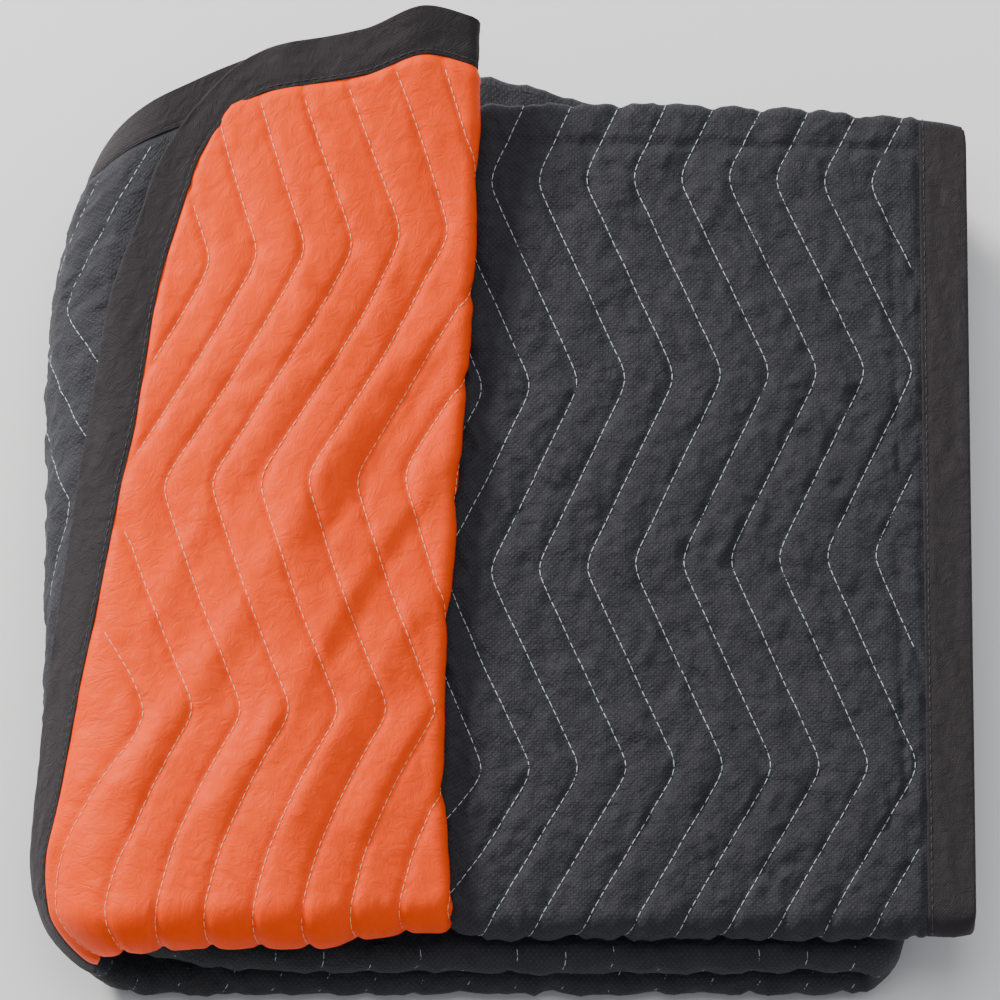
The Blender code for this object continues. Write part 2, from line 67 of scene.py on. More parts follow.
# Section across the strip: four layers, three turns.
OUTER_TURN = 1.5 * LAYER
INNER_TURN = 0.5 * LAYER
FLAT_LONG = 464.7 * MM
FLAT_SHORT = 459.4 * MM
V_FRONT = FLAT_LONG
V_SECOND = V_FRONT + math.pi * OUTER_TURN
V_BACK = V_SECOND + FLAT_SHORT
V_THIRD = V_BACK + math.pi * INNER_TURN
V_INNER = V_THIRD + FLAT_SHORT
V_FOURTH = V_INNER + math.pi * INNER_TURN
V_END = V_FOURTH + FLAT_LONG

# Track of the strip's middle, seen from the front: length of each run, and the turn made on it.
TIGHT = 12.3 * MM
WIDE = 3 * TIGHT
START_X = 254.0 * MM
START_Z = 5 * TIGHT - 1.0 * MM
TRACK = (
    # run, length, turn in radians
    ("upper ply", 443.0 * MM, 0.0),
    ("left inner turn", math.pi * TIGHT, math.pi),
    ("middle ply", 384.0 * MM, 0.0),
    ("right turn", math.pi * TIGHT, -math.pi),
    ("lower ply", 392.0 * MM, 0.0),
    ("left outer turn", math.pi * WIDE, -math.pi),
    ("top ply", 400.0 * MM, 0.0),
)

# Where the front turn, the back fold and the back edges lie along the strip.
PLY_EDGES = (
    # distance along the strip, front skin y, back fold y, back edge y
    (0 * MM, -236 * MM, 231 * MM, 229 * MM),
    (190 * MM, -236 * MM, 240 * MM, 232 * MM),
    (258 * MM, -236 * MM, 239 * MM, 232 * MM),
    (298 * MM, -223 * MM, 239 * MM, 232 * MM),
    (390 * MM, -224 * MM, 238 * MM, 232 * MM),
    (560 * MM, -247 * MM, 238 * MM, 232 * MM),
    (866 * MM, -247 * MM, 236 * MM, 230 * MM),
    (904 * MM, -251 * MM, 236 * MM, 230 * MM),
    (1296 * MM, -251 * MM, 238 * MM, 232 * MM),
    (1390 * MM, -246 * MM, 236 * MM, 240 * MM),
    (1440 * MM, -241 * MM, 236 * MM, 240 * MM),
)

# The last end: where its hidden layers stop, where its top layer is turned back.
HIDDEN_END_X = -115 * MM
CUFF_FOLD = (
    # v, x
    (0 * MM, -16 * MM),
    (140 * MM, -21 * MM),
    (232 * MM, -28.5 * MM),
    (312 * MM, -34 * MM),
    (390 * MM, -36.5 * MM),
    (430 * MM, -35 * MM),
    (464 * MM, -31 * MM),
)
CUFF_TURN = 4.0 * MM
CUFF_FRONT_SKIN = -228 * MM
CUFF_FRONT_TURN = 3.5 * MM
CUFF_DROP = 17.8 * MM
CUFF_DROP_X = (-125 * MM, -24 * MM)
CUFF_FRONT_END = 115 / 180

# The tape's seam: its share of the tape's width, how deep it draws the tape in, and the space
# between the cloth and the tape.
SEAM_SHARE = 0.9
SEAM_DEPTH = 0.45 * MM
TAPE_CLEAR = 0.25 * MM

# Length of the turned back end, at distances from its back edge.
CUFF_CORNER = 66 * MM
CUFF_LENGTH = (
    # v, length from the fold
    (0 * MM, 172 * MM),
    (66 * MM, 178 * MM),
    (125 * MM, 186 * MM),
    (170 * MM, 188 * MM),
    (208 * MM, 189 * MM),
    (292 * MM, 193 * MM),
    (341 * MM, 198 * MM),
    (390 * MM, 204 * MM),
    (430 * MM, 215 * MM),
    (464 * MM, 226 * MM),
    (492 * MM, 238 * MM),
)

# The tape's share of its width in q there: round the side, q is measured on a smaller turn.
END_TAPE = (
    # v, share
    (50 * MM, 1.0),
    (125 * MM, 0.85),
    (230 * MM, 0.68),
)

# Corners of the stack in plan, rounded.
CORNERS = (
    # side x, side y, radius, corner x, corner y, lowest z, highest z
    (-1, -1, 62 * MM, -246 * MM, -246 * MM, -0.1, 1.0),
    (-1, 1, 150 * MM, -246 * MM, 240 * MM, -0.1, 1.0),
    (1, 1, 24 * MM, 254 * MM, 238 * MM, 0.048, 1.0),
    (1, -1, 14 * MM, 254 * MM, -238 * MM, 0.048, 1.0),
    (1, 1, 25 * MM, 218 * MM, 238 * MM, -0.1, 0.048),
    (1, -1, 25 * MM, 218 * MM, -244 * MM, -0.1, 0.048),
)
CORNER_FULLNESS = 0.32
PAST_END = 1.3

# The free back edge of the top layer curls up and reaches back.
CURL_BASE_Y = 40 * MM
REACH_BASE_Y = -110 * MM
CURL_EDGE_Y = 246 * MM
CURL_LOW_Z = 72.8 * MM
CURL_HIGH_Z = 73.6 * MM
CURL = (
    # x, rise, reach back
    (-215 * MM, 0 * MM, 0 * MM),
    (-175 * MM, 0 * MM, 8 * MM),
    (-135 * MM, 0 * MM, 18 * MM),
    (-104 * MM, 3 * MM, 23 * MM),
    (-74 * MM, 13 * MM, 28 * MM),
    (-38 * MM, 26 * MM, 40 * MM),
    (-10 * MM, 22 * MM, 34 * MM),
)

# The back folds of the two lower plies bulge out behind the top ply.
BULGE = (
    # x, reach back
    (-180 * MM, 0 * MM),
    (-120 * MM, 15 * MM),
    (-70 * MM, 29 * MM),
    (-15 * MM, 33 * MM),
    (5 * MM, 29 * MM),
    (22 * MM, 26 * MM),
    (38 * MM, 22 * MM),
    (54 * MM, 17 * MM),
    (68 * MM, 9 * MM),
    (90 * MM, 0 * MM),
)

STACK_CENTRE = (2.35 * MM, 14.95 * MM, 0.15 * MM)

# Turning points of the quilting zigzag, in v: sideways place as a share of its reach.
ZIGZAG = (
    # v, share
    (0 * MM, 0.9),
    (114 * MM, -1.0),
    (233 * MM, 1.4),
    (359 * MM, -1.0),
    (470 * MM, 1.35),
    (574 * MM, -1.0),
    (690 * MM, 1.0),
    (800 * MM, -1.0),
    (913 * MM, 1.0),
    (1010 * MM, -0.8),
)

# How the turning points drift along v from one needle line to the next, per metre of q.
ZIGZAG_DRIFT = (
    # v, drift
    (480 * MM, 0.0),
    (574 * MM, 0.017),
    (690 * MM, 0.06),
    (800 * MM, 0.065),
    (913 * MM, 0.02),
    (960 * MM, 0.0),
)
DRIFT_CENTRE = 146 * MM

# The turns of the zigzag are rounded: a mean over places this far apart, with these weights.
TURN_STEP = 4.5 * MM
TURN_WEIGHTS = ((-2, 1 / 9), (-1, 2 / 9), (0, 3 / 9), (1, 2 / 9), (2, 1 / 9))

# Soft creases and ridges, placed on the stack seen from above.
PANEL_CREASES = (
    # from x, from y, to x, to y, half width, height
    (-8 * MM, 217 * MM, 232 * MM, 212 * MM, 3.2 * MM, -1.7 * MM),
    (60 * MM, 168 * MM, 118 * MM, 143 * MM, 5.0 * MM, -0.9 * MM),
    (128 * MM, 205 * MM, 96 * MM, 128 * MM, 5.0 * MM, 0.8 * MM),
    (22 * MM, 96 * MM, 66 * MM, 60 * MM, 4.5 * MM, -1.0 * MM),
    (52 * MM, 52 * MM, 104 * MM, 22 * MM, 5.5 * MM, 0.9 * MM),
    (-14 * MM, 30 * MM, 42 * MM, 8 * MM, 5.0 * MM, -0.9 * MM),
    (38 * MM, -24 * MM, 88 * MM, -52 * MM, 4.5 * MM, -1.0 * MM),
    (84 * MM, -18 * MM, 140 * MM, -2 * MM, 6.0 * MM, 0.8 * MM),
    (120 * MM, 70 * MM, 176 * MM, 36 * MM, 5.5 * MM, -0.8 * MM),
    (150 * MM, 118 * MM, 196 * MM, 150 * MM, 6.0 * MM, 0.8 * MM),
    (-20 * MM, -74 * MM, 52 * MM, -112 * MM, 5.0 * MM, -1.0 * MM),
    (62 * MM, -112 * MM, 116 * MM, -150 * MM, 4.5 * MM, 0.9 * MM),
    (110 * MM, -66 * MM, 168 * MM, -96 * MM, 5.0 * MM, -0.9 * MM),
    (150 * MM, -140 * MM, 206 * MM, -176 * MM, 5.0 * MM, 0.8 * MM),
    (-18 * MM, -160 * MM, 46 * MM, -188 * MM, 6.0 * MM, 1.0 * MM),
    (80 * MM, -190 * MM, 158 * MM, -212 * MM, 5.0 * MM, -0.9 * MM),
    (168 * MM, -30 * MM, 214 * MM, -58 * MM, 5.0 * MM, -0.7 * MM),
    (176 * MM, 84 * MM, 212 * MM, 66 * MM, 5.0 * MM, 0.7 * MM),
    (214 * MM, 180 * MM, 216 * MM, 20 * MM, 2.4 * MM, -0.9 * MM),
    (215 * MM, -10 * MM, 218 * MM, -160 * MM, 2.4 * MM, -1.0 * MM),
)
CUFF_CREASES = (
    # from x, from y, to x, to y, half width, height
    (-18 * MM, 118 * MM, -72 * MM, 58 * MM, 9.0 * MM, 1.6 * MM),
    (-72 * MM, 58 * MM, -128 * MM, -52 * MM, 10.0 * MM, 2.2 * MM),
    (-128 * MM, -52 * MM, -206 * MM, -176 * MM, 10.0 * MM, 2.2 * MM),
    (-22 * MM, 40 * MM, -70 * MM, -36 * MM, 9.0 * MM, 1.8 * MM),
    (-70 * MM, -36 * MM, -112 * MM, -116 * MM, 9.0 * MM, 2.0 * MM),
    (-112 * MM, -116 * MM, -160 * MM, -190 * MM, 9.0 * MM, 2.0 * MM),
    (-34 * MM, -42 * MM, -76 * MM, -116 * MM, 9.0 * MM, 1.8 * MM),
    (-76 * MM, -116 * MM, -118 * MM, -196 * MM, 9.0 * MM, 1.8 * MM),
    (-38 * MM, -112 * MM, -78 * MM, -192 * MM, 8.0 * MM, 1.7 * MM),
    (-150 * MM, 6 * MM, -190 * MM, -82 * MM, 8.0 * MM, 1.3 * MM),
    (-96 * MM, 70 * MM, -140 * MM, -10 * MM, 7.0 * MM, -1.1 * MM),
    (-30 * MM, 84 * MM, -96 * MM, -28 * MM, 6.0 * MM, -1.2 * MM),
    (-40 * MM, 0 * MM, -92 * MM, -96 * MM, 6.0 * MM, -1.2 * MM),
    (-84 * MM, 178 * MM, -58 * MM, 120 * MM, 8.0 * MM, 1.0 * MM),
    (-120 * MM, 170 * MM, -100 * MM, 100 * MM, 8.0 * MM, 0.8 * MM),
    (-140 * MM, 128 * MM, -80 * MM, 112 * MM, 5.0 * MM, -0.7 * MM),
    (-150 * MM, 60 * MM, -96 * MM, 84 * MM, 5.0 * MM, -0.7 * MM),
)

RUN_STARTS = np.concatenate([[0.0], np.cumsum([length for _, length, _ in TRACK])])
LINE_COUNT = 72


def column(table, index):
    """One column of a table, as an array."""
    return np.array([row[index] for row in table], dtype=float)


def along_curve(x, table, index):
    """A table's column at x, on a smooth curve through its rows that never overshoots them."""
    at, value = column(table, 0), column(table, index)
    gap = np.diff(at)
    slope = np.diff(value) / gap
    tangent = np.zeros_like(value)
    rising = slope[:-1] * slope[1:] > 0
    tangent[1:-1][rising] = 2 * slope[:-1][rising] * slope[1:][rising] / (slope[:-1] + slope[1:])[rising]
    tangent[0], tangent[-1] = slope[0], slope[-1]
    x = np.clip(x, at[0], at[-1])
    k = np.clip(np.searchsorted(at, x, side="right") - 1, 0, len(gap) - 1)
    t = (x - at[k]) / gap[k]
    first = value[k] * (1 + 2 * t) * (1 - t) ** 2 + value[k + 1] * t**2 * (3 - 2 * t)
    return first + gap[k] * (tangent[k] * t * (1 - t) ** 2 - tangent[k + 1] * t**2 * (1 - t))


def smooth(x, low, high):
    """A soft step from 0 at low to 1 at high."""
    t = np.clip((x - low) / (high - low), 0.0, 1.0)
    return t * t * (3.0 - 2.0 * t)


def track(u):
    """Place and direction of the strip's middle at the distances u: x, z and the heading."""
    x, z, heading = START_X, START_Z, math.pi
    out_x, out_z, out_a = np.zeros_like(u), np.zeros_like(u), np.zeros_like(u)
    for start, (_, length, turn) in zip(RUN_STARTS, TRACK):
        inside = (u >= start) | (start == 0.0)
        s = u - start
        if turn:
            radius = length / turn
            a = heading + s / radius
            run_x = x + radius * (np.sin(a) - math.sin(heading))
            run_z = z - radius * (np.cos(a) - math.cos(heading))
            end = heading + turn
            x += radius * (math.sin(end) - math.sin(heading))
            z -= radius * (math.cos(end) - math.cos(heading))
        else:
            a = np.full_like(u, heading)
            run_x = x + s * math.cos(heading)
            run_z = z + s * math.sin(heading)
            end = heading
            x += length * math.cos(heading)
            z += length * math.sin(heading)
        out_x = np.where(inside, run_x, out_x)
        out_z = np.where(inside, run_z, out_z)
        out_a = np.where(inside, a, out_a)
        heading = end
    return out_x, out_z, out_a


def u_at(x):
    """Distance along the strip at which the top ply reaches x."""
    start_x, _, _ = track(np.array([RUN_STARTS[6]]))
    return RUN_STARTS[6] + x - start_x[0]


HIDDEN_END = u_at(HIDDEN_END_X)


def section(u, v):
    """The strip's section at u: y and height n of the point v, and the black face's direction."""
    front = along_curve(u, PLY_EDGES, 1)
    fold = along_curve(u, PLY_EDGES, 2)
    edge = along_curve(u, PLY_EDGES, 3)
    x, _, _ = track(u)
    low = (u > RUN_STARTS[1]) & (u < RUN_STARTS[5])
    fold = fold + np.where(low, along_curve(x, BULGE, 1), 0.0)
    over = smooth(u, HIDDEN_END, u_at(CUFF_FOLD[-1][1]))
    front = front + over * (CUFF_FRONT_SKIN - front)
    turn = OUTER_TURN + over * (CUFF_FRONT_TURN - OUTER_TURN)
    middle = front + turn + HALF_CLOTH
    back = fold - INNER_TURN - HALF_CLOTH
    y, n = np.zeros_like(u), np.zeros_like(u)
    my, mn = np.zeros_like(u), np.zeros_like(u)

    def flat(low_v, high_v, y0, y1, height, direction):
        """A level layer from y0 to y1, with the black face up (1) or down (-1)."""
        here = (v >= low_v) & (v <= high_v)
        t = (v - low_v) / (high_v - low_v)
        y[:] = np.where(here, y0 + t * (y1 - y0), y)
        n[:] = np.where(here, height, n)
        my[:] = np.where(here, 0.0, my)
        mn[:] = np.where(here, direction, mn)

    def turned(low_v, high_v, centre_y, centre_n, radius, side, first, outward):
        """A half turn that bulges to side (-1 front, 1 back) and starts at height sign first."""
        here = (v > low_v) & (v < high_v)
        a = math.pi * (v - low_v) / (high_v - low_v)
        across, up = side * np.sin(a), first * np.cos(a)
        y[:] = np.where(here, centre_y + radius * across, y)
        n[:] = np.where(here, centre_n + radius * up, n)
        my[:] = np.where(here, outward * across, my)
        mn[:] = np.where(here, outward * up, mn)

    flat(-TAPE_WIDTH, 0.0, edge + TAPE_WIDTH, edge, OUTER_TURN, 1.0)
    flat(0.0, V_FRONT, edge, middle, OUTER_TURN, 1.0)
    turned(V_FRONT, V_SECOND, middle, OUTER_TURN - turn, turn, -1.0, 1.0, 1.0)
    flat(V_SECOND, V_BACK, middle, back, -OUTER_TURN, -1.0)
    turned(V_BACK, V_THIRD, back, -LAYER, INNER_TURN, 1.0, -1.0, 1.0)
    flat(V_THIRD, V_INNER, back, middle, -INNER_TURN, 1.0)
    turned(V_INNER, V_FOURTH, middle, 0.0, INNER_TURN, -1.0, -1.0, -1.0)
    flat(V_FOURTH, V_END, middle, edge, INNER_TURN, -1.0)
    flat(V_END, V_END + TAPE_WIDTH, edge, edge + TAPE_WIDTH, INNER_TURN, -1.0)
    return y, n, my, mn


def base_point(u, v, height):
    """A point at height above the middle of the strip's cloth at (u, v), before it settles."""
    x, z, a = track(u)
    y, n, my, mn = section(u, v)
    away = n + height * mn
    x = x - np.sin(a) * away
    z = z + np.cos(a) * away
    z = z - CUFF_DROP * smooth(x, *CUFF_DROP_X) * (u > RUN_STARTS[6])
    return np.stack([x, y + height * my, z], axis=-1)


def fold_at(v):
    """Distance along the strip at which its top layer is turned back, at v."""
    return u_at(along_curve(v, CUFF_FOLD, 1))


def cuff_length(v):
    """Length of the turned back end at v, with its rounded corner."""
    length = along_curve(v, CUFF_LENGTH, 1)
    below = np.clip(CUFF_CORNER - v, 0.0, CUFF_CORNER)
    return length - CUFF_CORNER + np.sqrt(CUFF_CORNER**2 - below**2)


def end_tape(v):
    """The tape's width in q at the turned back end: less where it lies round the stack's side."""
    return TAPE_WIDTH * along_curve(v, END_TAPE, 1)


def strip_end(v):
    """The largest q at v: the bound end of the turned back part."""
    return fold_at(v) + math.pi * CUFF_TURN + cuff_length(v)


def settle(p, q):
    """Gives the stack its rounded corners and curled edge, and rests it flat on the floor."""
    p = p.copy()
    x, y, z = p[..., 0].copy(), p[..., 1].copy(), p[..., 2].copy()
    for sx, sy, radius, cx, cy, low, high in CORNERS:
        here = (z > low) & (z <= high)
        dx = np.clip((sx * x - (sx * cx - radius)) / radius, 0.0, PAST_END)
        dy = np.clip((sy * y - (sy * cy - radius)) / radius, 0.0, PAST_END)
        new_x = sx * (sx * cx - radius + radius * dx * np.sqrt(1 - CORNER_FULLNESS * dy * dy))
        new_y = sy * (sy * cy - radius + radius * dy * np.sqrt(1 - CORNER_FULLNESS * dx * dx))
        inside = here & (dx > 0) & (dy > 0)
        x, y = np.where(inside, new_x, x), np.where(inside, new_y, y)
    raised = smooth(z, CURL_LOW_Z, CURL_HIGH_Z) * (q > RUN_STARTS[5])
    bent = np.clip((y - CURL_BASE_Y) / (CURL_EDGE_Y - CURL_BASE_Y), 0.0, PAST_END) ** 2
    rise = along_curve(x, CURL, 1)
    reach = along_curve(x, CURL, 2)
    back = smooth(y, REACH_BASE_Y, CURL_EDGE_Y)
    p[..., 0] = x
    p[..., 1] = y + reach * back * raised
    p[..., 2] = z + rise * bent * raised
    p -= np.array(STACK_CENTRE)
    p[..., 2] = np.maximum(p[..., 2], 0.0)
    return p


def pad_point(q, v, d):
    """The point of the folded pad at q, v and d."""
    q, v, d = np.broadcast_arrays(np.asarray(q, float), np.asarray(v, float), np.asarray(d, float))
    fold = fold_at(v)
    over = q - fold
    turn_length = math.pi * CUFF_TURN
    a = np.clip(over / CUFF_TURN, 0.0, math.pi)
    bent = over > 0.0
    u = np.where(bent, fold + (CUFF_TURN - d) * np.sin(a), q)
    height = np.where(bent, CUFF_TURN - (CUFF_TURN - d) * np.cos(a), d)
    returned = over > turn_length
    u = np.where(returned, fold - (over - turn_length), u)
    height = np.where(returned, 2 * CUFF_TURN - d, height)
    return settle(base_point(u, v, height), q)


def zigzag(v, line_q=DRIFT_CENTRE):
    """How far sideways the needle line about line_q lies at v."""
    drift = np.interp(v, column(ZIGZAG_DRIFT, 0), column(ZIGZAG_DRIFT, 1))
    at = v + drift * np.clip(line_q - DRIFT_CENTRE, -0.15, 0.15)
    places, shares = column(ZIGZAG, 0), column(ZIGZAG, 1)
    rounded = sum(w * np.interp(at + k * TURN_STEP, places, shares) for k, w in TURN_WEIGHTS)
    return ZIGZAG_REACH * rounded


def soft_noise(x, y, size, seed):
    """Smooth uneven heights from -1 to 1, with features about size across."""
    ix, iy = np.floor(x / size), np.floor(y / size)
    fx, fy = x / size - ix, y / size - iy
    fx, fy = fx * fx * (3 - 2 * fx), fy * fy * (3 - 2 * fy)

    def corner(a, b):
        h = np.sin((ix + a) * 127.1 + (iy + b) * 311.7 + seed * 74.7) * 43758.5453
        return 2 * (h - np.floor(h)) - 1

    low = corner(0, 0) * (1 - fx) + corner(1, 0) * fx
    high = corner(0, 1) * (1 - fx) + corner(1, 1) * fx
    return low * (1 - fy) + high * fy


def creases(table, x, y):
    """Height of the listed creases at the plan places x, y."""
    total = np.zeros_like(x)
    for x0, y0, x1, y1, width, height in table:
        along = np.array([x1 - x0, y1 - y0])
        length = float(np.hypot(*along))
        ax, ay = along / length
        t = (x - x0) * ax + (y - y0) * ay
        side = -(x - x0) * ay + (y - y0) * ax
        inside = smooth(t, -width, 2 * width) * smooth(-t, -length - width, -length + 2 * width)
        total += height * inside * np.exp(-((side / width) ** 2))
    return total


def line_distance(q, v):
    """Distance from the nearest needle line, across it."""
    line_q = q - zigzag(v)
    s = (q - zigzag(v, line_q) - FIRST_LINE) / NEEDLE_PITCH
    return abs(s - np.round(s)) * NEEDLE_PITCH


def tape_pinch(q, v):
    """1 in the open cloth, 0 under the tape, with a short ramp between them."""
    share = end_tape(v) / TAPE_WIDTH
    edge = np.minimum(np.minimum(q, (strip_end(v) - q) / share), np.minimum(v, V_END - v))
    return smooth(edge, TAPE_WIDTH - 1.0 * MM, TAPE_WIDTH + RAMP + 2.0 * MM)


def quilted(q, v, sizes):
    """Height of one cloth over its flat, from the quilting, with uneven puckers along it."""
    away = line_distance(q, v)
    trough = np.exp(-((away / (2.6 * MM)) ** 2))
    crown = np.clip(away / (NEEDLE_PITCH / 2), 0.0, 1.0)
    crown = 1.0 - (1.0 - crown) ** 2
    pucker = soft_noise(q + v * 0.3, v, 7 * MM, 3) * np.exp(-((away / (8 * MM)) ** 2))
    return sizes.puff * crown - sizes.trough * trough + 0.5 * MM * pucker


def panel_height(q, v, sizes):
    """Height of the black face's surface over the middle of the cloth."""
    plain = pad_point(q, v, HALF_CLOTH) + np.array(STACK_CENTRE)
    x, y = plain[..., 0], plain[..., 1]
    on_top = (q < RUN_STARTS[1]) & (v > V_FRONT) & (v < V_BACK)
    rolled = (q > RUN_STARTS[5]) & (q < fold_at(v)) & (v < V_FRONT)
    turns = ((v >= V_FRONT) & (v <= V_SECOND)) | ((v >= V_BACK) & (v <= V_THIRD))
    wrinkles = (
        0.8 * MM * soft_noise(q * 0.8 + v * 0.55, v * 0.5 - q * 0.3, 19 * MM, 1)
        + 1.9 * MM * (0.4 - abs(soft_noise(q + v * 0.45, v * 0.7 - q * 0.7, 13 * MM, 2)))
        + 1.3 * MM * (0.4 - abs(soft_noise(q * 0.9 - v * 0.5, v * 0.8 + q * 0.5, 8 * MM, 6)))
        + 0.4 * MM * soft_noise(q - v * 0.3, v + q * 0.5, 4.6 * MM, 5)
    )
    height = (quilted(q, v, sizes) + wrinkles) * (on_top | rolled | turns)
    height += 1.5 * creases(PANEL_CREASES, x, y) * on_top
    pinch = tape_pinch(q, v)
    return np.maximum(HALF_PINCHED + (HALF_CLOTH - HALF_PINCHED + height) * pinch, LEAST_HALF)


def lining_height(q, v, sizes):
    """Depth of the orange reverse's surface under the middle of the cloth."""
    plain = pad_point(q, v, -HALF_CLOTH) + np.array(STACK_CENTRE)
    x, y = plain[..., 0], plain[..., 1]
    wrinkles = (
        0.8 * MM * soft_noise(x * 0.9 + y * 0.35, y * 0.45 - x * 0.4, 19 * MM, 7)
        + 0.4 * MM * soft_noise(x * 0.95 - y * 0.3, y * 0.6 + x * 0.5, 9.5 * MM, 8)
        + 0.14 * MM * soft_noise(x, y, 4.5 * MM, 9)
    )
    drawn_in = 1.0 + 0.65 * smooth(v, V_FRONT - 8 * MM, V_FRONT + 6 * MM)
    height = quilted(q, v, sizes) * drawn_in + wrinkles + 1.3 * creases(CUFF_CREASES, x, y)
    height = height * (q > fold_at(v))
    pinch = tape_pinch(q, v)
    return np.maximum(HALF_PINCHED + (HALF_CLOTH - HALF_PINCHED + height) * pinch, LEAST_HALF)


def spaced(low, high, step):
    """Places from low to high, about step apart, without low."""
    count = max(1, round((high - low) / step))
    return [low + (high - low) * k / count for k in range(1, count + 1)]


class Lattice:
    """Columns and rows of a cloth in named zones, fine where two zones are seen, sparse elsewhere."""

    def __init__(self, zones_q, zones_v, seen):
        self.seen = seen
        self.kinds, self.places, self.q_zones = ["strip"], [0.0], []
        for name, kind, low, high, step, keep in zones_q:
            for place in spaced(low, high, step):
                self.kinds.append(kind)
                self.places.append(place)
            self.q_zones.append((name, len(self.kinds) - 1, keep))
        self.rows, self.v_zones = [0.0], []
        for name, low, high, step, keep in zones_v:
            self.rows += spaced(low, high, step)
            self.v_zones.append((name, len(self.rows) - 1, keep))
        self.rows = np.array(self.rows)

    def q(self):
        """The q of every column at every row."""
        v = self.rows
        fold = fold_at(v)
        start = fold + math.pi * CUFF_TURN
        length = cuff_length(v)
        out = []
        for kind, place in zip(self.kinds, self.places):
            if kind == "strip":
                swing = smooth(place, FIRST_LINE - 6 * MM, 62 * MM) * (1 - smooth(place, 305 * MM, 340 * MM))
                out.append(place + zigzag(v, place) * swing)
            elif kind == "wedge":
                out.append(HIDDEN_END + place * (fold - HIDDEN_END))
            elif kind == "turn":
                out.append(fold + CUFF_TURN * place)
            else:
                out.append(start + place * length)
        return np.array(out)

    def cells(self):
        """The cells of the cloth, as pairs of columns and rows, and which points they use."""
        front_end = V_FRONT + (V_SECOND - V_FRONT) * CUFF_FRONT_END
        last_full = self.kinds.index("wedge") - 1
        last_row = int(np.searchsorted(self.rows, front_end, side="right")) - 1
        used = np.zeros((len(self.kinds), len(self.rows)), bool)
        cells = []
        low_i = 0
        for name_q, high_i, keep_i in self.q_zones:
            low_j = 0
            for name_v, high_j, keep_j in self.v_zones:
                top_j = high_j if low_i < last_full else min(high_j, last_row)
                if top_j > low_j:
                    fine = (name_q, name_v) in self.seen
                    across = sorted({*range(low_i, high_i, 1 if fine else keep_i), high_i})
                    along = sorted({*range(low_j, top_j, 1 if fine else keep_j), top_j})
                    used[np.ix_(across, along)] = True
                    cells += [(a, b, c, e) for a, b in zip(across, across[1:]) for c, e in zip(along, along[1:])]
                low_j = high_j
            low_i = high_i
        return cells, used


def cloth_mesh(name, lattice, depth_of, side, sizes):
    """One cloth as a sheet: side is 1 for the black face, -1 for the reverse."""
    q = lattice.q()
    vv = np.broadcast_to(lattice.rows, q.shape)
    points = pad_point(q, vv, side * depth_of(q, vv, sizes))
    cells, used = lattice.cells()
    index = -np.ones(q.shape, int)
    index[used] = np.arange(int(used.sum()))
    faces = []
    for a, b, c, e in cells:
        loop = [(i, c) for i in range(a, b)] + [(b, j) for j in range(c, e)]
        loop += [(i, e) for i in range(b, a, -1)] + [(a, j) for j in range(e, c, -1)]
        ids = [int(index[at]) for at in loop if used[at]]
        faces.append(ids if side > 0 else ids[::-1])
    mesh = bpy.data.meshes.new(name)
    mesh.from_pydata(points[used].tolist(), [], faces)
    mesh.update()
    set_cloth_map(mesh, q[used], vv[used])
    return shown(name, mesh)


def set_cloth_map(mesh, across, along):
    """Gives a mesh its flat coordinates in metres, one pair for each point."""
    flat = np.stack([across, along], axis=-1).astype(np.float32)
    loops = np.empty(len(mesh.loops), int)
    mesh.loops.foreach_get("vertex_index", loops)
    layer = mesh.uv_layers.new(name="cloth")
    layer.data.foreach_set("uv", flat[loops].ravel())


def shown(name, mesh):
    """An object for the mesh, shaded smooth, in the scene."""
    mesh.shade_smooth()
    obj = bpy.data.objects.new(name, mesh)
    bpy.context.scene.collection.objects.link(obj)
    return obj


class Node:
    """A socket of a shader's node tree, on which sums can be written."""

    def __init__(self, tree, socket):
        self.tree = tree
        self.socket = socket

    def math(self, operation, other=None, flipped=False):
        values = [self, other] if not flipped else [other, self]
        inputs = {i: value for i, value in enumerate(values) if value is not None}
        return make(self.tree, "ShaderNodeMath", {"operation": operation}, inputs)

    def __add__(self, other):
        return self.math("ADD", other)

    __radd__ = __add__

    def __sub__(self, other):
        return self.math("SUBTRACT", other)

    def __rsub__(self, other):
        return self.math("SUBTRACT", other, True)

    def __mul__(self, other):
        return self.math("MULTIPLY", other)

    __rmul__ = __mul__

    def __truediv__(self, other):
        return self.math("DIVIDE", other)

    def power(self, other):
        return self.math("POWER", other)

    def clipped(self):
        return make(self.tree, "ShaderNodeMath", {"operation": "ADD", "use_clamp": True}, {0: self, 1: 0.0})


def make(tree, kind, settings=None, inputs=None, output=0):
    """A node with its settings, then its inputs, and the socket that it gives."""
    node = tree.nodes.new(kind)
    for key, value in (settings or {}).items():
        if key == "stops":
            ramp = node.color_ramp
            for k, (place, colour) in enumerate(value):
                stop = ramp.elements[k] if k < 2 else ramp.elements.new(place)
                stop.position = place
                stop.color = (*colour, 1.0)
        else:
            setattr(node, key, value)
    for key, value in (inputs or {}).items():
        if isinstance(value, Node):
            tree.links.new(value.socket, node.inputs[key])
        else:
            node.inputs[key].default_value = value
    return Node(tree, node.outputs[output])


def mixed(tree, share, first, second):
    """A colour between two, by share."""
    values = [c if isinstance(c, Node) else (*c, 1.0) for c in (first, second)]
    return make(tree, "ShaderNodeMix", {"data_type": "RGBA"}, {0: share, 6: values[0], 7: values[1]}, 2)


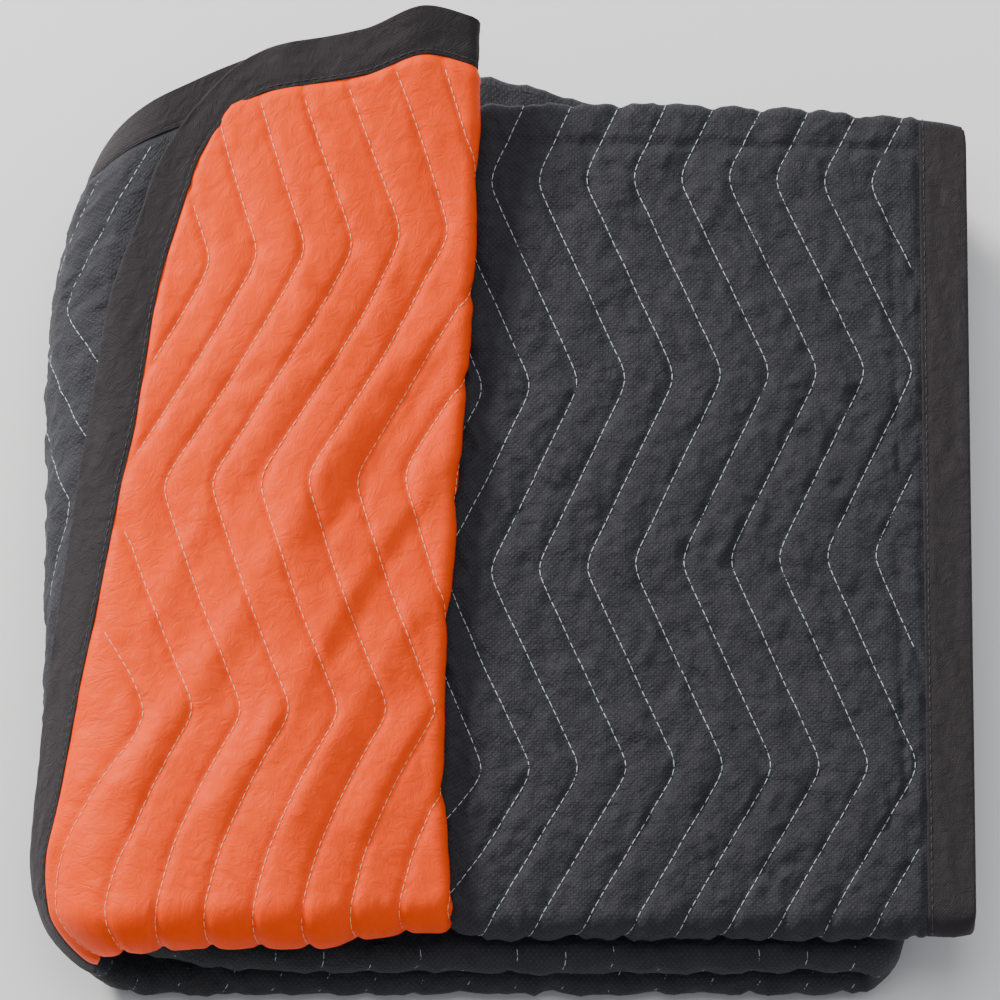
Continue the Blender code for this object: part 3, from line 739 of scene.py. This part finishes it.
def cloth_place(tree, scale):
    """The cloth's own flat coordinates, in units of 1 / scale metres: the vector and its parts."""
    uv = make(tree, "ShaderNodeUVMap", {"uv_map": "cloth"})
    place = make(tree, "ShaderNodeVectorMath", {"operation": "SCALE"}, {0: uv, "Scale": scale})
    parts = tree.nodes.new("ShaderNodeSeparateXYZ")
    tree.links.new(place.socket, parts.inputs[0])
    return place, Node(tree, parts.outputs[0]), Node(tree, parts.outputs[1])


def woven(tree, thread):
    """Height of a plain weave of threads thread metres apart, from 0 to 1."""
    _, across, along = cloth_place(tree, math.pi / thread)
    warp = across.math("SINE")
    weft = along.math("SINE")
    over = (warp * weft).math("MULTIPLY", 2.2)
    swell = warp.math("ABSOLUTE") * weft.math("ABSOLUTE")
    return ((over * 0.22 + 0.5) * 0.6 + swell.power(0.5) * 0.4).clipped()


def fabric(name, colours, thread, weave_depth, crumple, roughness, sheen, sheen_tint, wear, specular):
    """Woven cloth: a plain weave, uneven colour with painted shade between the threads, fine creases and a soft
    sheen.
    """
    material = bpy.data.materials.new(name)
    material.use_nodes = True
    tree = material.node_tree
    shader = tree.nodes["Principled BSDF"]
    place, _, _ = cloth_place(tree, 1.0)
    weave = woven(tree, thread)
    patches = make(tree, "ShaderNodeTexNoise", None,
                   {"Vector": place, "Scale": 34.0, "Detail": 5.0, "Roughness": 0.62})
    specks = make(tree, "ShaderNodeTexNoise", None,
                  {"Vector": place, "Scale": 620.0, "Detail": 2.0, "Roughness": 0.6})
    folds = make(tree, "ShaderNodeTexNoise", None,
                 {"Vector": place, "Scale": 120.0, "Detail": 6.0, "Roughness": 0.68, "Distortion": 0.9})
    # Mix from the first colour to the second: the weave's part is painted shade between the threads, the patches and
    # specks are uneven tone.
    thread_shade_and_tone = (weave * 0.55 + patches * 0.45 + specks * 0.35 - 0.18).clipped()
    tree.links.new(mixed(tree, thread_shade_and_tone, colours[0], colours[1]).socket, shader.inputs["Base Color"])
    rough = (patches - 0.5) * wear + roughness
    tree.links.new((rough - weave * 0.06).clipped().socket, shader.inputs["Roughness"])
    shader.inputs["Sheen Weight"].default_value = sheen
    shader.inputs["Sheen Roughness"].default_value = 0.45
    shader.inputs["Sheen Tint"].default_value = (*sheen_tint, 1.0)
    shader.inputs["Specular IOR Level"].default_value = specular
    soft = make(tree, "ShaderNodeBump", None, {"Strength": 0.85, "Distance": crumple, "Height": folds})
    fine = make(tree, "ShaderNodeBump", None,
                {"Strength": 0.8, "Distance": weave_depth, "Height": weave + specks * 0.5, "Normal": soft})
    tree.links.new(fine.socket, shader.inputs["Normal"])
    return material


def thread_material(name, colour):
    """Spun sewing thread, with a fine unevenness."""
    material = bpy.data.materials.new(name)
    material.use_nodes = True
    tree = material.node_tree
    shader = tree.nodes["Principled BSDF"]
    place = make(tree, "ShaderNodeTexCoord", None, None, 3)
    spun = make(tree, "ShaderNodeTexNoise", None, {"Vector": place, "Scale": 900.0, "Detail": 2.0})
    dark = tuple(c * 0.72 for c in colour)
    tree.links.new(mixed(tree, spun, dark, colour).socket, shader.inputs["Base Color"])
    shader.inputs["Roughness"].default_value = 0.55
    shader.inputs["Sheen Weight"].default_value = 0.2
    return material


def floor_material(colour):
    """Plain pale floor with the faintest mottling."""
    material = bpy.data.materials.new("pale_floor")
    material.use_nodes = True
    tree = material.node_tree
    shader = tree.nodes["Principled BSDF"]
    place = make(tree, "ShaderNodeTexCoord", None, None, 3)
    mottle = make(tree, "ShaderNodeTexNoise", None, {"Vector": place, "Scale": 3.0, "Detail": 3.0})
    dim = tuple(c * 0.985 for c in colour)
    tree.links.new(mixed(tree, mottle, dim, colour).socket, shader.inputs["Base Color"])
    shader.inputs["Roughness"].default_value = 0.7
    return material


def deselected():
    """Nothing selected, in object mode."""
    for obj in bpy.context.selected_objects:
        obj.select_set(False)


def stitch_shape():
    """Points and faces of one stitch: a short rod along X, a unit long and wide, with dipped ends."""
    deselected()
    bpy.ops.mesh.primitive_uv_sphere_add(segments=6, ring_count=4, radius=1.0, rotation=(0, math.pi / 2, 0))
    obj = bpy.context.object
    bpy.ops.object.transform_apply(rotation=True)
    bpy.ops.object.mode_set(mode="EDIT")
    bpy.ops.mesh.select_all(action="SELECT")
    bpy.ops.transform.resize(value=(1.0, 1.0, 0.8))
    bpy.ops.object.mode_set(mode="OBJECT")
    points = np.array([tuple(vert.co) for vert in obj.data.vertices])
    points[:, 0] = np.sign(points[:, 0]) * abs(points[:, 0]) ** 0.55
    points[:, 2] -= 0.55 * points[:, 0] ** 4
    faces = [tuple(face.vertices) for face in obj.data.polygons]
    mesh = obj.data
    bpy.data.objects.remove(obj)
    bpy.data.meshes.remove(mesh)
    return points, faces


def sewn(name, starts, ends, ups, half_width):
    """One mesh of stitches that run from starts to ends, with ups away from the cloth."""
    shape, faces = stitch_shape()
    middle = (starts + ends) / 2
    along = (ends - starts) / 2
    length = np.linalg.norm(along, axis=1, keepdims=True)
    t = along / length
    n = ups - (ups * t).sum(1, keepdims=True) * t
    n /= np.linalg.norm(n, axis=1, keepdims=True)
    s = np.cross(n, t)
    points = (
        middle[:, None]
        + along[:, None] * shape[None, :, :1]
        + s[:, None] * shape[None, :, 1:2] * half_width
        + n[:, None] * shape[None, :, 2:3] * half_width
    )
    points[..., 2] = np.maximum(points[..., 2], 0.0)
    count = len(shape)
    all_faces = [[i * count + k for k in face] for i in range(len(points)) for face in faces]
    mesh = bpy.data.meshes.new(name)
    mesh.from_pydata(points.reshape(-1, 3).tolist(), [], all_faces)
    mesh.update()
    return shown(name, mesh)


def stitches_on(at, above, inside, phase, sizes):
    """Starts, ends and outward directions of the stitches on one line of sewing."""
    run = np.concatenate([[0.0], np.cumsum(np.linalg.norm(np.diff(at, axis=0), axis=1))])
    places = np.arange(phase * sizes.stitch_pitch, run[-1] - sizes.stitch_length, sizes.stitch_pitch)
    first = np.round(np.interp(places, run, np.arange(len(run)))).astype(int)
    last = np.round(np.interp(places + sizes.stitch_length, run, np.arange(len(run)))).astype(int)
    straight = np.linalg.norm(at[last] - at[first], axis=1) > 0.5 * sizes.stitch_length
    good = (last > first) & inside[first] & inside[last] & straight
    first, last = first[good], last[good]
    middle = (first + last) // 2
    return at[first], at[last], above[middle] - at[middle]


def needle_lines(depth_of, side, sizes, is_shown, low_v, high_v):
    """Starts, ends and outward directions of the stitches along every needle line that shows."""
    fine = np.arange(low_v, high_v, 0.6 * MM)
    lines = []
    for line in range(LINE_COUNT):
        line_q = FIRST_LINE + line * NEEDLE_PITCH
        q = line_q + zigzag(fine, line_q)
        inside = is_shown(q, fine)
        if inside.any():
            height = depth_of(q, fine, sizes) + sizes.thread * 0.6
            at = pad_point(q, fine, side * height)
            above = pad_point(q, fine, side * (height + 1.0 * MM))
            lines.append(stitches_on(at, above, inside, 0.37 * line % 1.0, sizes))
    return [np.concatenate(part) for part in zip(*lines)]


def binding_seam(sizes):
    """Starts, ends and outward directions of the seam that holds the tape, on both its sides."""
    out, into = edge_route()
    run = np.concatenate([[0.0], np.cumsum(np.linalg.norm(np.diff(out, axis=0), axis=1))])
    fine = np.arange(0.0, run[-1], 0.8 * MM)
    sewn_at = out + (into - out) * SEAM_SHARE
    q, v = (np.interp(fine, run, sewn_at[:, k]) for k in (0, 1))
    height = HALF_PINCHED + TAPE_CLEAR + sizes.tape_thickness - SEAM_DEPTH + sizes.thread * 0.6
    lines = []
    for side in (1, -1):
        at = pad_point(q, v, side * height)
        above = pad_point(q, v, side * (height + 1.0 * MM))
        lines.append(stitches_on(at, above, np.ones(len(fine), bool), 0.2, sizes))
    return [np.concatenate(part) for part in zip(*lines)]


def face_shown(q, v):
    """Where black cloth with its stitches shows on the outside of the stack."""
    clear = (tape_pinch(q, v) > 0.99) & (q > TAPE_WIDTH + RAMP)
    top = (q < u_at_upper(-70 * MM)) & (v > V_FRONT) & (v < V_THIRD)
    fronts = (v > V_FRONT) & (v < V_SECOND) & (q < HIDDEN_END)
    rolled = (q > RUN_STARTS[4]) & (q < HIDDEN_END) & (v < V_FRONT)
    backs = (v > V_BACK) & (v < V_THIRD) & (q > RUN_STARTS[1]) & (q < RUN_STARTS[5])
    return clear & (top | fronts | rolled | backs)


def u_at_upper(x):
    """Distance along the strip at which the upper ply reaches x."""
    return START_X - x


def reverse_shown(q, v):
    """Where the orange reverse with its stitches shows."""
    clear = (tape_pinch(q, v) > 0.99) & (q < strip_end(v) - end_tape(v) - RAMP)
    front_end = V_FRONT + (V_SECOND - V_FRONT) * CUFF_FRONT_END
    return clear & (q > fold_at(v) + 3 * MM) & (v < front_end)


def edge_route():
    """Places round the bound edge, and their partners one tape width in from it: two arrays."""
    out, into = [], []

    def put(q, v, inner_q, inner_v):
        """Adds one place on the edge and its partner."""
        out.append((float(q), float(v)))
        into.append((float(inner_q), float(inner_v)))

    mitre = 0.02
    for q in np.arange(HIDDEN_END, 6 * MM, -6 * MM):
        put(q, V_END, max(q, TAPE_WIDTH + mitre * q), V_END - TAPE_WIDTH)
    rows = [V_END - s for s in np.arange(0.0, V_END - V_BACK, 8 * MM)]
    rows += list(np.arange(V_BACK, V_FRONT, -2.2 * MM)) + list(np.arange(V_FRONT, 0.0, -6 * MM)) + [0.0]
    for v in rows:
        inner = min(max(v, TAPE_WIDTH + mitre * v), V_END - TAPE_WIDTH - mitre * (V_END - v))
        put(0.0, v, TAPE_WIDTH, inner if min(v, V_END - v) < 60 * MM else v)
    corner_q = strip_end(CUFF_CORNER) - CUFF_CORNER
    for q in np.arange(4 * MM, u_at(-60 * MM), 5 * MM):
        put(q, 0.0, max(q, TAPE_WIDTH + mitre * q), TAPE_WIDTH)
    for q in np.arange(u_at(-60 * MM), float(corner_q), 2.4 * MM):
        put(q, 0.0, q, TAPE_WIDTH)
    inner_radius = CUFF_CORNER - TAPE_WIDTH
    for a in np.linspace(0.0, math.pi / 2, 30):
        put(corner_q + CUFF_CORNER * math.sin(a), CUFF_CORNER * (1 - math.cos(a)),
            corner_q + inner_radius * math.sin(a), CUFF_CORNER - inner_radius * math.cos(a))
    end = V_FRONT + (V_SECOND - V_FRONT) * CUFF_FRONT_END
    for v in (*np.arange(CUFF_CORNER + 2.4 * MM, end, 2.4 * MM), end):
        put(strip_end(v), v, strip_end(v) - end_tape(v), v)
    return np.array(out), np.array(into)


def binding_mesh(name, sizes):
    """The tape folded over the bound edge, with lengthwise puckers, as a thin closed sheet."""
    out, into = edge_route()
    across = into - out
    run = np.concatenate([[0.0], np.cumsum(np.linalg.norm(np.diff(out, axis=0), axis=1))])
    thick = sizes.tape_thickness
    outer = HALF_PINCHED + TAPE_CLEAR + thick
    shares = [1.0, 0.985, 0.95, 0.9, 0.82, 0.74, 0.66, 0.58, 0.5, 0.42, 0.34, 0.26, 0.18, 0.1, 0.04, 0.0]
    top = [(s, outer - (0.8 * thick if s == 1.0 else 0.25 * thick if s > 0.98 else 0.0), s) for s in shares]
    nose = [(-1.0 * math.sin(a) * outer * 0.5 / TAPE_WIDTH, math.cos(a) * outer, 0.0)
            for a in np.linspace(0.15 * math.pi, 0.85 * math.pi, 6)]
    bottom = [(s, -d, s) for s, d, _ in reversed(top)]
    inner = outer - thick
    lining = [(1.0, -inner * 0.9, 1.0), (0.02, -inner * 0.9, 0.0), (0.02, inner * 0.9, 0.0), (1.0, inner * 0.9, 1.0)]
    rings, places = [], []
    loop = top + nose + bottom + lining
    for k, (share, d, pucker_at) in enumerate(loop):
        side = 1.0 if d > 0 else -1.0
        uneven = soft_noise(run, np.full_like(run, pucker_at * TAPE_WIDTH * 2.4 + side), 15 * MM, 11)
        uneven += 0.6 * soft_noise(run, np.full_like(run, pucker_at * TAPE_WIDTH * 2.4 + side), 6 * MM, 12)
        pinched = math.exp(-(((pucker_at - SEAM_SHARE) / 0.05) ** 2))
        bump = 0.0 if k >= len(loop) - 4 else 1.0
        loose = (pucker_at < 0.99) * (1.0 - pinched)
        height = d + side * bump * (0.5 * MM * uneven * loose - SEAM_DEPTH * pinched)
        at = out + across * share
        rings.append(pad_point(at[:, 0], at[:, 1], height))
        places.append(share * TAPE_WIDTH if side > 0 else -share * TAPE_WIDTH)
    count, stations = len(rings), len(run)
    points = np.array(rings).transpose(1, 0, 2).reshape(-1, 3)
    faces = []
    for k in range(stations - 1):
        for c in range(count):
            e = (c + 1) % count
            faces.append([k * count + c, k * count + e, (k + 1) * count + e, (k + 1) * count + c])
    faces.append(list(range(count))[::-1])
    faces.append([(stations - 1) * count + c for c in range(count)])
    mesh = bpy.data.meshes.new(name)
    mesh.from_pydata(points.tolist(), [], faces)
    mesh.update()
    set_cloth_map(mesh, np.tile(places, stations), np.repeat(run, count))
    obj = shown(name, mesh)
    deselected()
    obj.select_set(True)
    bpy.context.view_layer.objects.active = obj
    bpy.ops.object.mode_set(mode="EDIT")
    bpy.ops.mesh.select_all(action="SELECT")
    bpy.ops.mesh.normals_make_consistent(inside=False)
    bpy.ops.object.mode_set(mode="OBJECT")
    return obj


def face_lattice():
    """Columns and rows of the black cloth, finest on the panel that shows."""
    r = RUN_STARTS
    zones_q = (
        # name, kind, low, high, step, every how many are kept where it isn't seen
        ("bound end", "strip", 0.0, TAPE_WIDTH, 6 * MM, 1),
        ("by the tape", "strip", TAPE_WIDTH, 66 * MM, 1.3 * MM, 8),
        ("panel", "strip", 66 * MM, 312 * MM, 1.75 * MM, 8),
        ("under cuff", "strip", 312 * MM, r[1], 9 * MM, 1),
        ("inner turn", "strip", r[1], r[2], 4 * MM, 1),
        ("middle", "strip", r[2], r[3], 5 * MM, 3),
        ("right turn", "strip", r[3], r[4], 4 * MM, 1),
        ("lower", "strip", r[4], r[5], 5 * MM, 3),
        ("side", "strip", r[5], u_at(-185 * MM), 2.4 * MM, 2),
        ("left top", "strip", u_at(-185 * MM), HIDDEN_END, 4 * MM, 2),
        ("wedge", "wedge", 0.0, 1.0, 0.125, 1),
        ("turn", "turn", 0.0, math.pi, math.pi / 4, 1),
        ("cuff", "cuff", 0.0, 1.0, 0.04, 1),
    )
    zones_v = (
        ("edge", 0.0, TAPE_WIDTH, 5 * MM, 2),
        ("first", TAPE_WIDTH, V_FRONT, 2.6 * MM, 5),
        ("front turn", V_FRONT, V_SECOND, 1.9 * MM, 2),
        ("second", V_SECOND, V_BACK, 2.0 * MM, 8),
        ("back turn", V_BACK, V_THIRD, 1.5 * MM, 2),
        ("rest", V_THIRD, V_END, 12 * MM, 1),
    )
    panel = ("bound end", "by the tape", "panel")
    plies = ("inner turn", "middle", "right turn", "lower", "side", "left top")
    seen = {(a, b) for a in panel for b in ("front turn", "second", "back turn")}
    seen |= {(a, b) for a in plies for b in ("front turn", "back turn")}
    seen |= {(a, b) for a in ("side", "left top") for b in ("edge", "first")}
    return Lattice(zones_q, zones_v, seen)


def reverse_lattice():
    """Columns and rows of the orange cloth, finest on the cuff."""
    r = RUN_STARTS
    zones_q = (
        ("upper", "strip", 0.0, r[1], 14 * MM, 1),
        ("inner turn", "strip", r[1], r[2], 5 * MM, 1),
        ("middle", "strip", r[2], r[3], 14 * MM, 1),
        ("right turn", "strip", r[3], r[4], 5 * MM, 1),
        ("lower", "strip", r[4], r[5], 14 * MM, 1),
        ("side", "strip", r[5], HIDDEN_END, 8 * MM, 1),
        ("wedge", "wedge", 0.0, 1.0, 0.125, 1),
        ("turn", "turn", 0.0, math.pi, math.pi / 8, 1),
        ("cuff", "cuff", 0.0, 1.0, 0.0082, 1),
    )
    zones_v = (
        ("first", 0.0, V_FRONT, 1.9 * MM, 6),
        ("front turn", V_FRONT, V_SECOND, 1.5 * MM, 2),
        ("rest", V_SECOND, V_END, 14 * MM, 1),
    )
    seen = {(a, b) for a in ("wedge", "turn", "cuff") for b in ("first", "front turn")}
    return Lattice(zones_q, zones_v, seen)


class PadSizes(bpy.types.PropertyGroup):
    """Sizes of the pad's sewing and quilting."""

    puff: bpy.props.FloatProperty(
        name="Puff", description="Height of the padding between needle lines",
        default=0.9 * MM, min=0.0, max=2 * MM, unit="LENGTH", precision=5)
    trough: bpy.props.FloatProperty(
        name="Trough", description="Depth to which a needle line draws the cloth in",
        default=1.1 * MM, min=0.0, max=2 * MM, unit="LENGTH", precision=5)
    thread: bpy.props.FloatProperty(
        name="Thread", description="Width of the quilting thread",
        default=0.55 * MM, min=0.3 * MM, max=2 * MM, unit="LENGTH", precision=5)
    stitch_length: bpy.props.FloatProperty(
        name="Stitch", description="Length of thread that shows in one stitch",
        default=4.2 * MM, min=1 * MM, max=12 * MM, unit="LENGTH", precision=5)
    stitch_pitch: bpy.props.FloatProperty(
        name="Stitch pitch", description="Distance from one stitch to the next",
        default=5.0 * MM, min=1.5 * MM, max=16 * MM, unit="LENGTH", precision=5)
    tape_thickness: bpy.props.FloatProperty(
        name="Tape", description="Thickness of the binding tape",
        default=0.8 * MM, min=0.3 * MM, max=1.5 * MM, unit="LENGTH", precision=5)


class PadColours(bpy.types.PropertyGroup):
    """Colours of the pad's cloths, tape and thread, with each cloth's darker colour between its threads as painted
    shade.
    """

    face: bpy.props.FloatVectorProperty(
        name="Face", description="Raised threads of the black face cloth",
        default=(0.044, 0.044, 0.052), subtype="COLOR", min=0.0, max=1.0)
    # Painted shade: the darker colour between the threads, where the weave's hollows lie in shade.
    face_gap_shade: bpy.props.FloatVectorProperty(
        name="Face, deep", description="Between the threads of the black face cloth",
        default=(0.007, 0.007, 0.009), subtype="COLOR", min=0.0, max=1.0)
    reverse: bpy.props.FloatVectorProperty(
        name="Reverse", description="Raised threads of the orange reverse cloth",
        default=(1.0, 0.085, 0.0), subtype="COLOR", min=0.0, max=1.0)
    # Painted shade: the darker, deeper orange between the threads, where the weave's hollows lie in shade.
    reverse_gap_shade: bpy.props.FloatVectorProperty(
        name="Reverse, deep", description="Between the threads of the orange reverse cloth",
        default=(0.96, 0.050, 0.0), subtype="COLOR", min=0.0, max=1.0)
    tape: bpy.props.FloatVectorProperty(
        name="Tape", description="Raised threads of the binding tape",
        default=(0.036, 0.032, 0.035), subtype="COLOR", min=0.0, max=1.0)
    # Painted shade: the darker colour between the threads, where the weave's hollows lie in shade.
    tape_gap_shade: bpy.props.FloatVectorProperty(
        name="Tape, deep", description="Between the threads of the binding tape",
        default=(0.006, 0.003, 0.0035), subtype="COLOR", min=0.0, max=1.0)
    thread: bpy.props.FloatVectorProperty(
        name="Thread", description="Quilting thread on the black face",
        default=(0.52, 0.56, 0.62), subtype="COLOR", min=0.0, max=1.0)
    reverse_thread: bpy.props.FloatVectorProperty(
        name="Reverse thread", description="Quilting thread on the orange reverse",
        default=(0.95, 0.50, 0.30), subtype="COLOR", min=0.0, max=1.0)
    seam: bpy.props.FloatVectorProperty(
        name="Seam", description="Thread of the binding's seam",
        default=(0.020, 0.018, 0.020), subtype="COLOR", min=0.0, max=1.0)
    floor: bpy.props.FloatVectorProperty(
        name="Floor", description="Pale floor",
        default=(0.90, 0.90, 0.90), subtype="COLOR", min=0.0, max=1.0)


class MOVINGPAD_OT_face(bpy.types.Operator):
    """Makes the black face cloth, quilted and creased"""

    bl_idname = "moving_pad.face"
    bl_label = "Black face cloth"

    def execute(self, context):
        sizes, colours = context.scene.pad_sizes, context.scene.pad_colours
        obj = cloth_mesh("quilted_face", face_lattice(), panel_height, 1, sizes)
        obj.data.materials.append(fabric(
            "black_woven_face", (colours.face_gap_shade[:], colours.face[:]), 1.5 * MM, 0.42 * MM,
            3.4 * MM, 0.66, 0.06, (0.75, 0.78, 0.9), 0.2, 0.22))
        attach(obj, "root")
        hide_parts("face_cloth")
        return {"FINISHED"}


class MOVINGPAD_OT_reverse(bpy.types.Operator):
    """Makes the orange reverse cloth, which shows on the turned back cuff"""

    bl_idname = "moving_pad.reverse"
    bl_label = "Orange reverse cloth"

    def execute(self, context):
        sizes, colours = context.scene.pad_sizes, context.scene.pad_colours
        obj = cloth_mesh("satin_reverse", reverse_lattice(), lining_height, -1, sizes)
        obj.data.materials.append(fabric(
            "orange_satin_reverse", (colours.reverse_gap_shade[:], colours.reverse[:]), 0.75 * MM, 0.08 * MM,
            1.3 * MM, 0.46, 0.0, (1.0, 0.3, 0.05), 0.25, 0.10))
        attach(obj, "root")
        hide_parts("reverse_cloth")
        return {"FINISHED"}


class MOVINGPAD_OT_binding(bpy.types.Operator):
    """Makes the binding tape, folded over the pad's edge"""

    bl_idname = "moving_pad.binding"
    bl_label = "Binding tape"

    def execute(self, context):
        sizes, colours = context.scene.pad_sizes, context.scene.pad_colours
        obj = binding_mesh("bound_edge", sizes)
        obj.data.materials.append(fabric(
            "black_binding_tape", (colours.tape_gap_shade[:], colours.tape[:]), 0.9 * MM, 0.25 * MM,
            1.8 * MM, 0.7, 0.06, (0.8, 0.7, 0.72), 0.2, 0.22))
        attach(obj, "root")
        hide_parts("binding")
        seam = sewn("tape_seam", *binding_seam(sizes), sizes.thread / 2)
        seam.data.materials.append(thread_material("tape_seam_thread", colours.seam[:]))
        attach(seam, "root")
        return {"FINISHED"}


class MOVINGPAD_OT_quilting(bpy.types.Operator):
    """Sews the white quilting thread on both cloths, stitch by stitch"""

    bl_idname = "moving_pad.quilting"
    bl_label = "Quilting thread"

    def execute(self, context):
        sizes, colours = context.scene.pad_sizes, context.scene.pad_colours
        for name, depth_of, side, is_shown, high_v, colour in (
            ("face_quilting", panel_height, 1, face_shown, V_THIRD, colours.thread),
            ("reverse_quilting", lining_height, -1, reverse_shown, V_SECOND, colours.reverse_thread),
        ):
            rows = needle_lines(depth_of, side, sizes, is_shown, TAPE_WIDTH, high_v)
            obj = sewn(name, *rows, sizes.thread / 2)
            obj.data.materials.append(thread_material(name + "_thread", colour[:]))
            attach(obj, "root")
        return {"FINISHED"}


class MOVINGPAD_OT_stage(bpy.types.Operator):
    """Sets up the pale floor, the soft lights and the camera"""

    bl_idname = "moving_pad.stage"
    bl_label = "Stage"

    def execute(self, context):
        deselected()
        bpy.ops.mesh.primitive_plane_add(size=12.0, location=(0.0, 0.0, -0.0005))
        floor = context.object
        floor.name = "floor"
        bpy.ops.object.transform_apply(location=True)
        floor.data.materials.append(floor_material(context.scene.pad_colours.floor[:]))
        for name, place, size, power, colour in (
            ("soft_key", (-2.1, 1.9, 1.5), 0.8, 168.0, (1.0, 0.98, 0.95)),
            ("soft_fill", (2.2, 0.6, 1.9), 2.0, 12.0, (0.95, 0.97, 1.0)),
            ("overhead", (0.0, 0.5, 3.0), 2.0, 36.0, (1.0, 1.0, 1.0)),
        ):
            light = bpy.data.lights.new(name, "AREA")
            light.energy = power
            light.size = size
            light.color = colour
            lamp = bpy.data.objects.new(name, light)
            context.scene.collection.objects.link(lamp)
            lamp.location = place
            lamp.rotation_euler = (-Vector(place)).to_track_quat("-Z", "Y").to_euler()
        world = bpy.data.worlds.new("studio")
        world.use_nodes = True
        world.node_tree.nodes["Background"].inputs["Color"].default_value = (0.93, 0.95, 1.0, 1.0)
        world.node_tree.nodes["Background"].inputs["Strength"].default_value = 0.4
        context.scene.world = world
        distance, elevation = 7.0, math.radians(70.0)
        target = Vector((-1.8 * MM, -7.0 * MM, 72.7 * MM))
        data = bpy.data.cameras.new("camera")
        data.sensor_width = 36.0
        data.lens = 36.0 * distance / 0.54
        data.clip_end = 30.0
        camera = bpy.data.objects.new("camera", data)
        context.scene.collection.objects.link(camera)
        back = Vector((0.0, -math.cos(elevation), math.sin(elevation)))
        camera.location = target + back * distance
        camera.rotation_euler = (-back).to_track_quat("-Z", "Y").to_euler()
        context.scene.camera = camera
        return {"FINISHED"}


class MOVINGPAD_PT_panel(bpy.types.Panel):
    """Sizes, colours and pieces of the moving pad"""

    bl_label = "Moving pad"
    bl_idname = "MOVINGPAD_PT_panel"
    bl_space_type = "VIEW_3D"
    bl_region_type = "UI"
    bl_category = "Moving pad"

    def draw(self, context):
        for group in (context.scene.pad_sizes, context.scene.pad_colours):
            box = self.layout.box()
            for name in group.bl_rna.properties.keys():
                if name not in ("rna_type", "name"):
                    box.prop(group, name)
        for operator in OPERATORS:
            self.layout.operator(operator.bl_idname)


OPERATORS = (
    MOVINGPAD_OT_face,
    MOVINGPAD_OT_reverse,
    MOVINGPAD_OT_binding,
    MOVINGPAD_OT_quilting,
    MOVINGPAD_OT_stage,
)
CLASSES = (PadSizes, PadColours, *OPERATORS, MOVINGPAD_PT_panel)


def register():
    for cls in CLASSES:
        bpy.utils.register_class(cls)
    bpy.types.Scene.pad_sizes = bpy.props.PointerProperty(type=PadSizes)
    bpy.types.Scene.pad_colours = bpy.props.PointerProperty(type=PadColours)


def unregister():
    del bpy.types.Scene.pad_colours
    del bpy.types.Scene.pad_sizes
    for cls in reversed(CLASSES):
        bpy.utils.unregister_class(cls)


def main():
    """Registers the add-on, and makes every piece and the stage."""
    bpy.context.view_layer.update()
    register()
    bpy.ops.moving_pad.face()
    bpy.ops.moving_pad.reverse()
    bpy.ops.moving_pad.binding()
    bpy.ops.moving_pad.quilting()
    bpy.ops.moving_pad.stage()


if __name__ == "__main__":
    main()
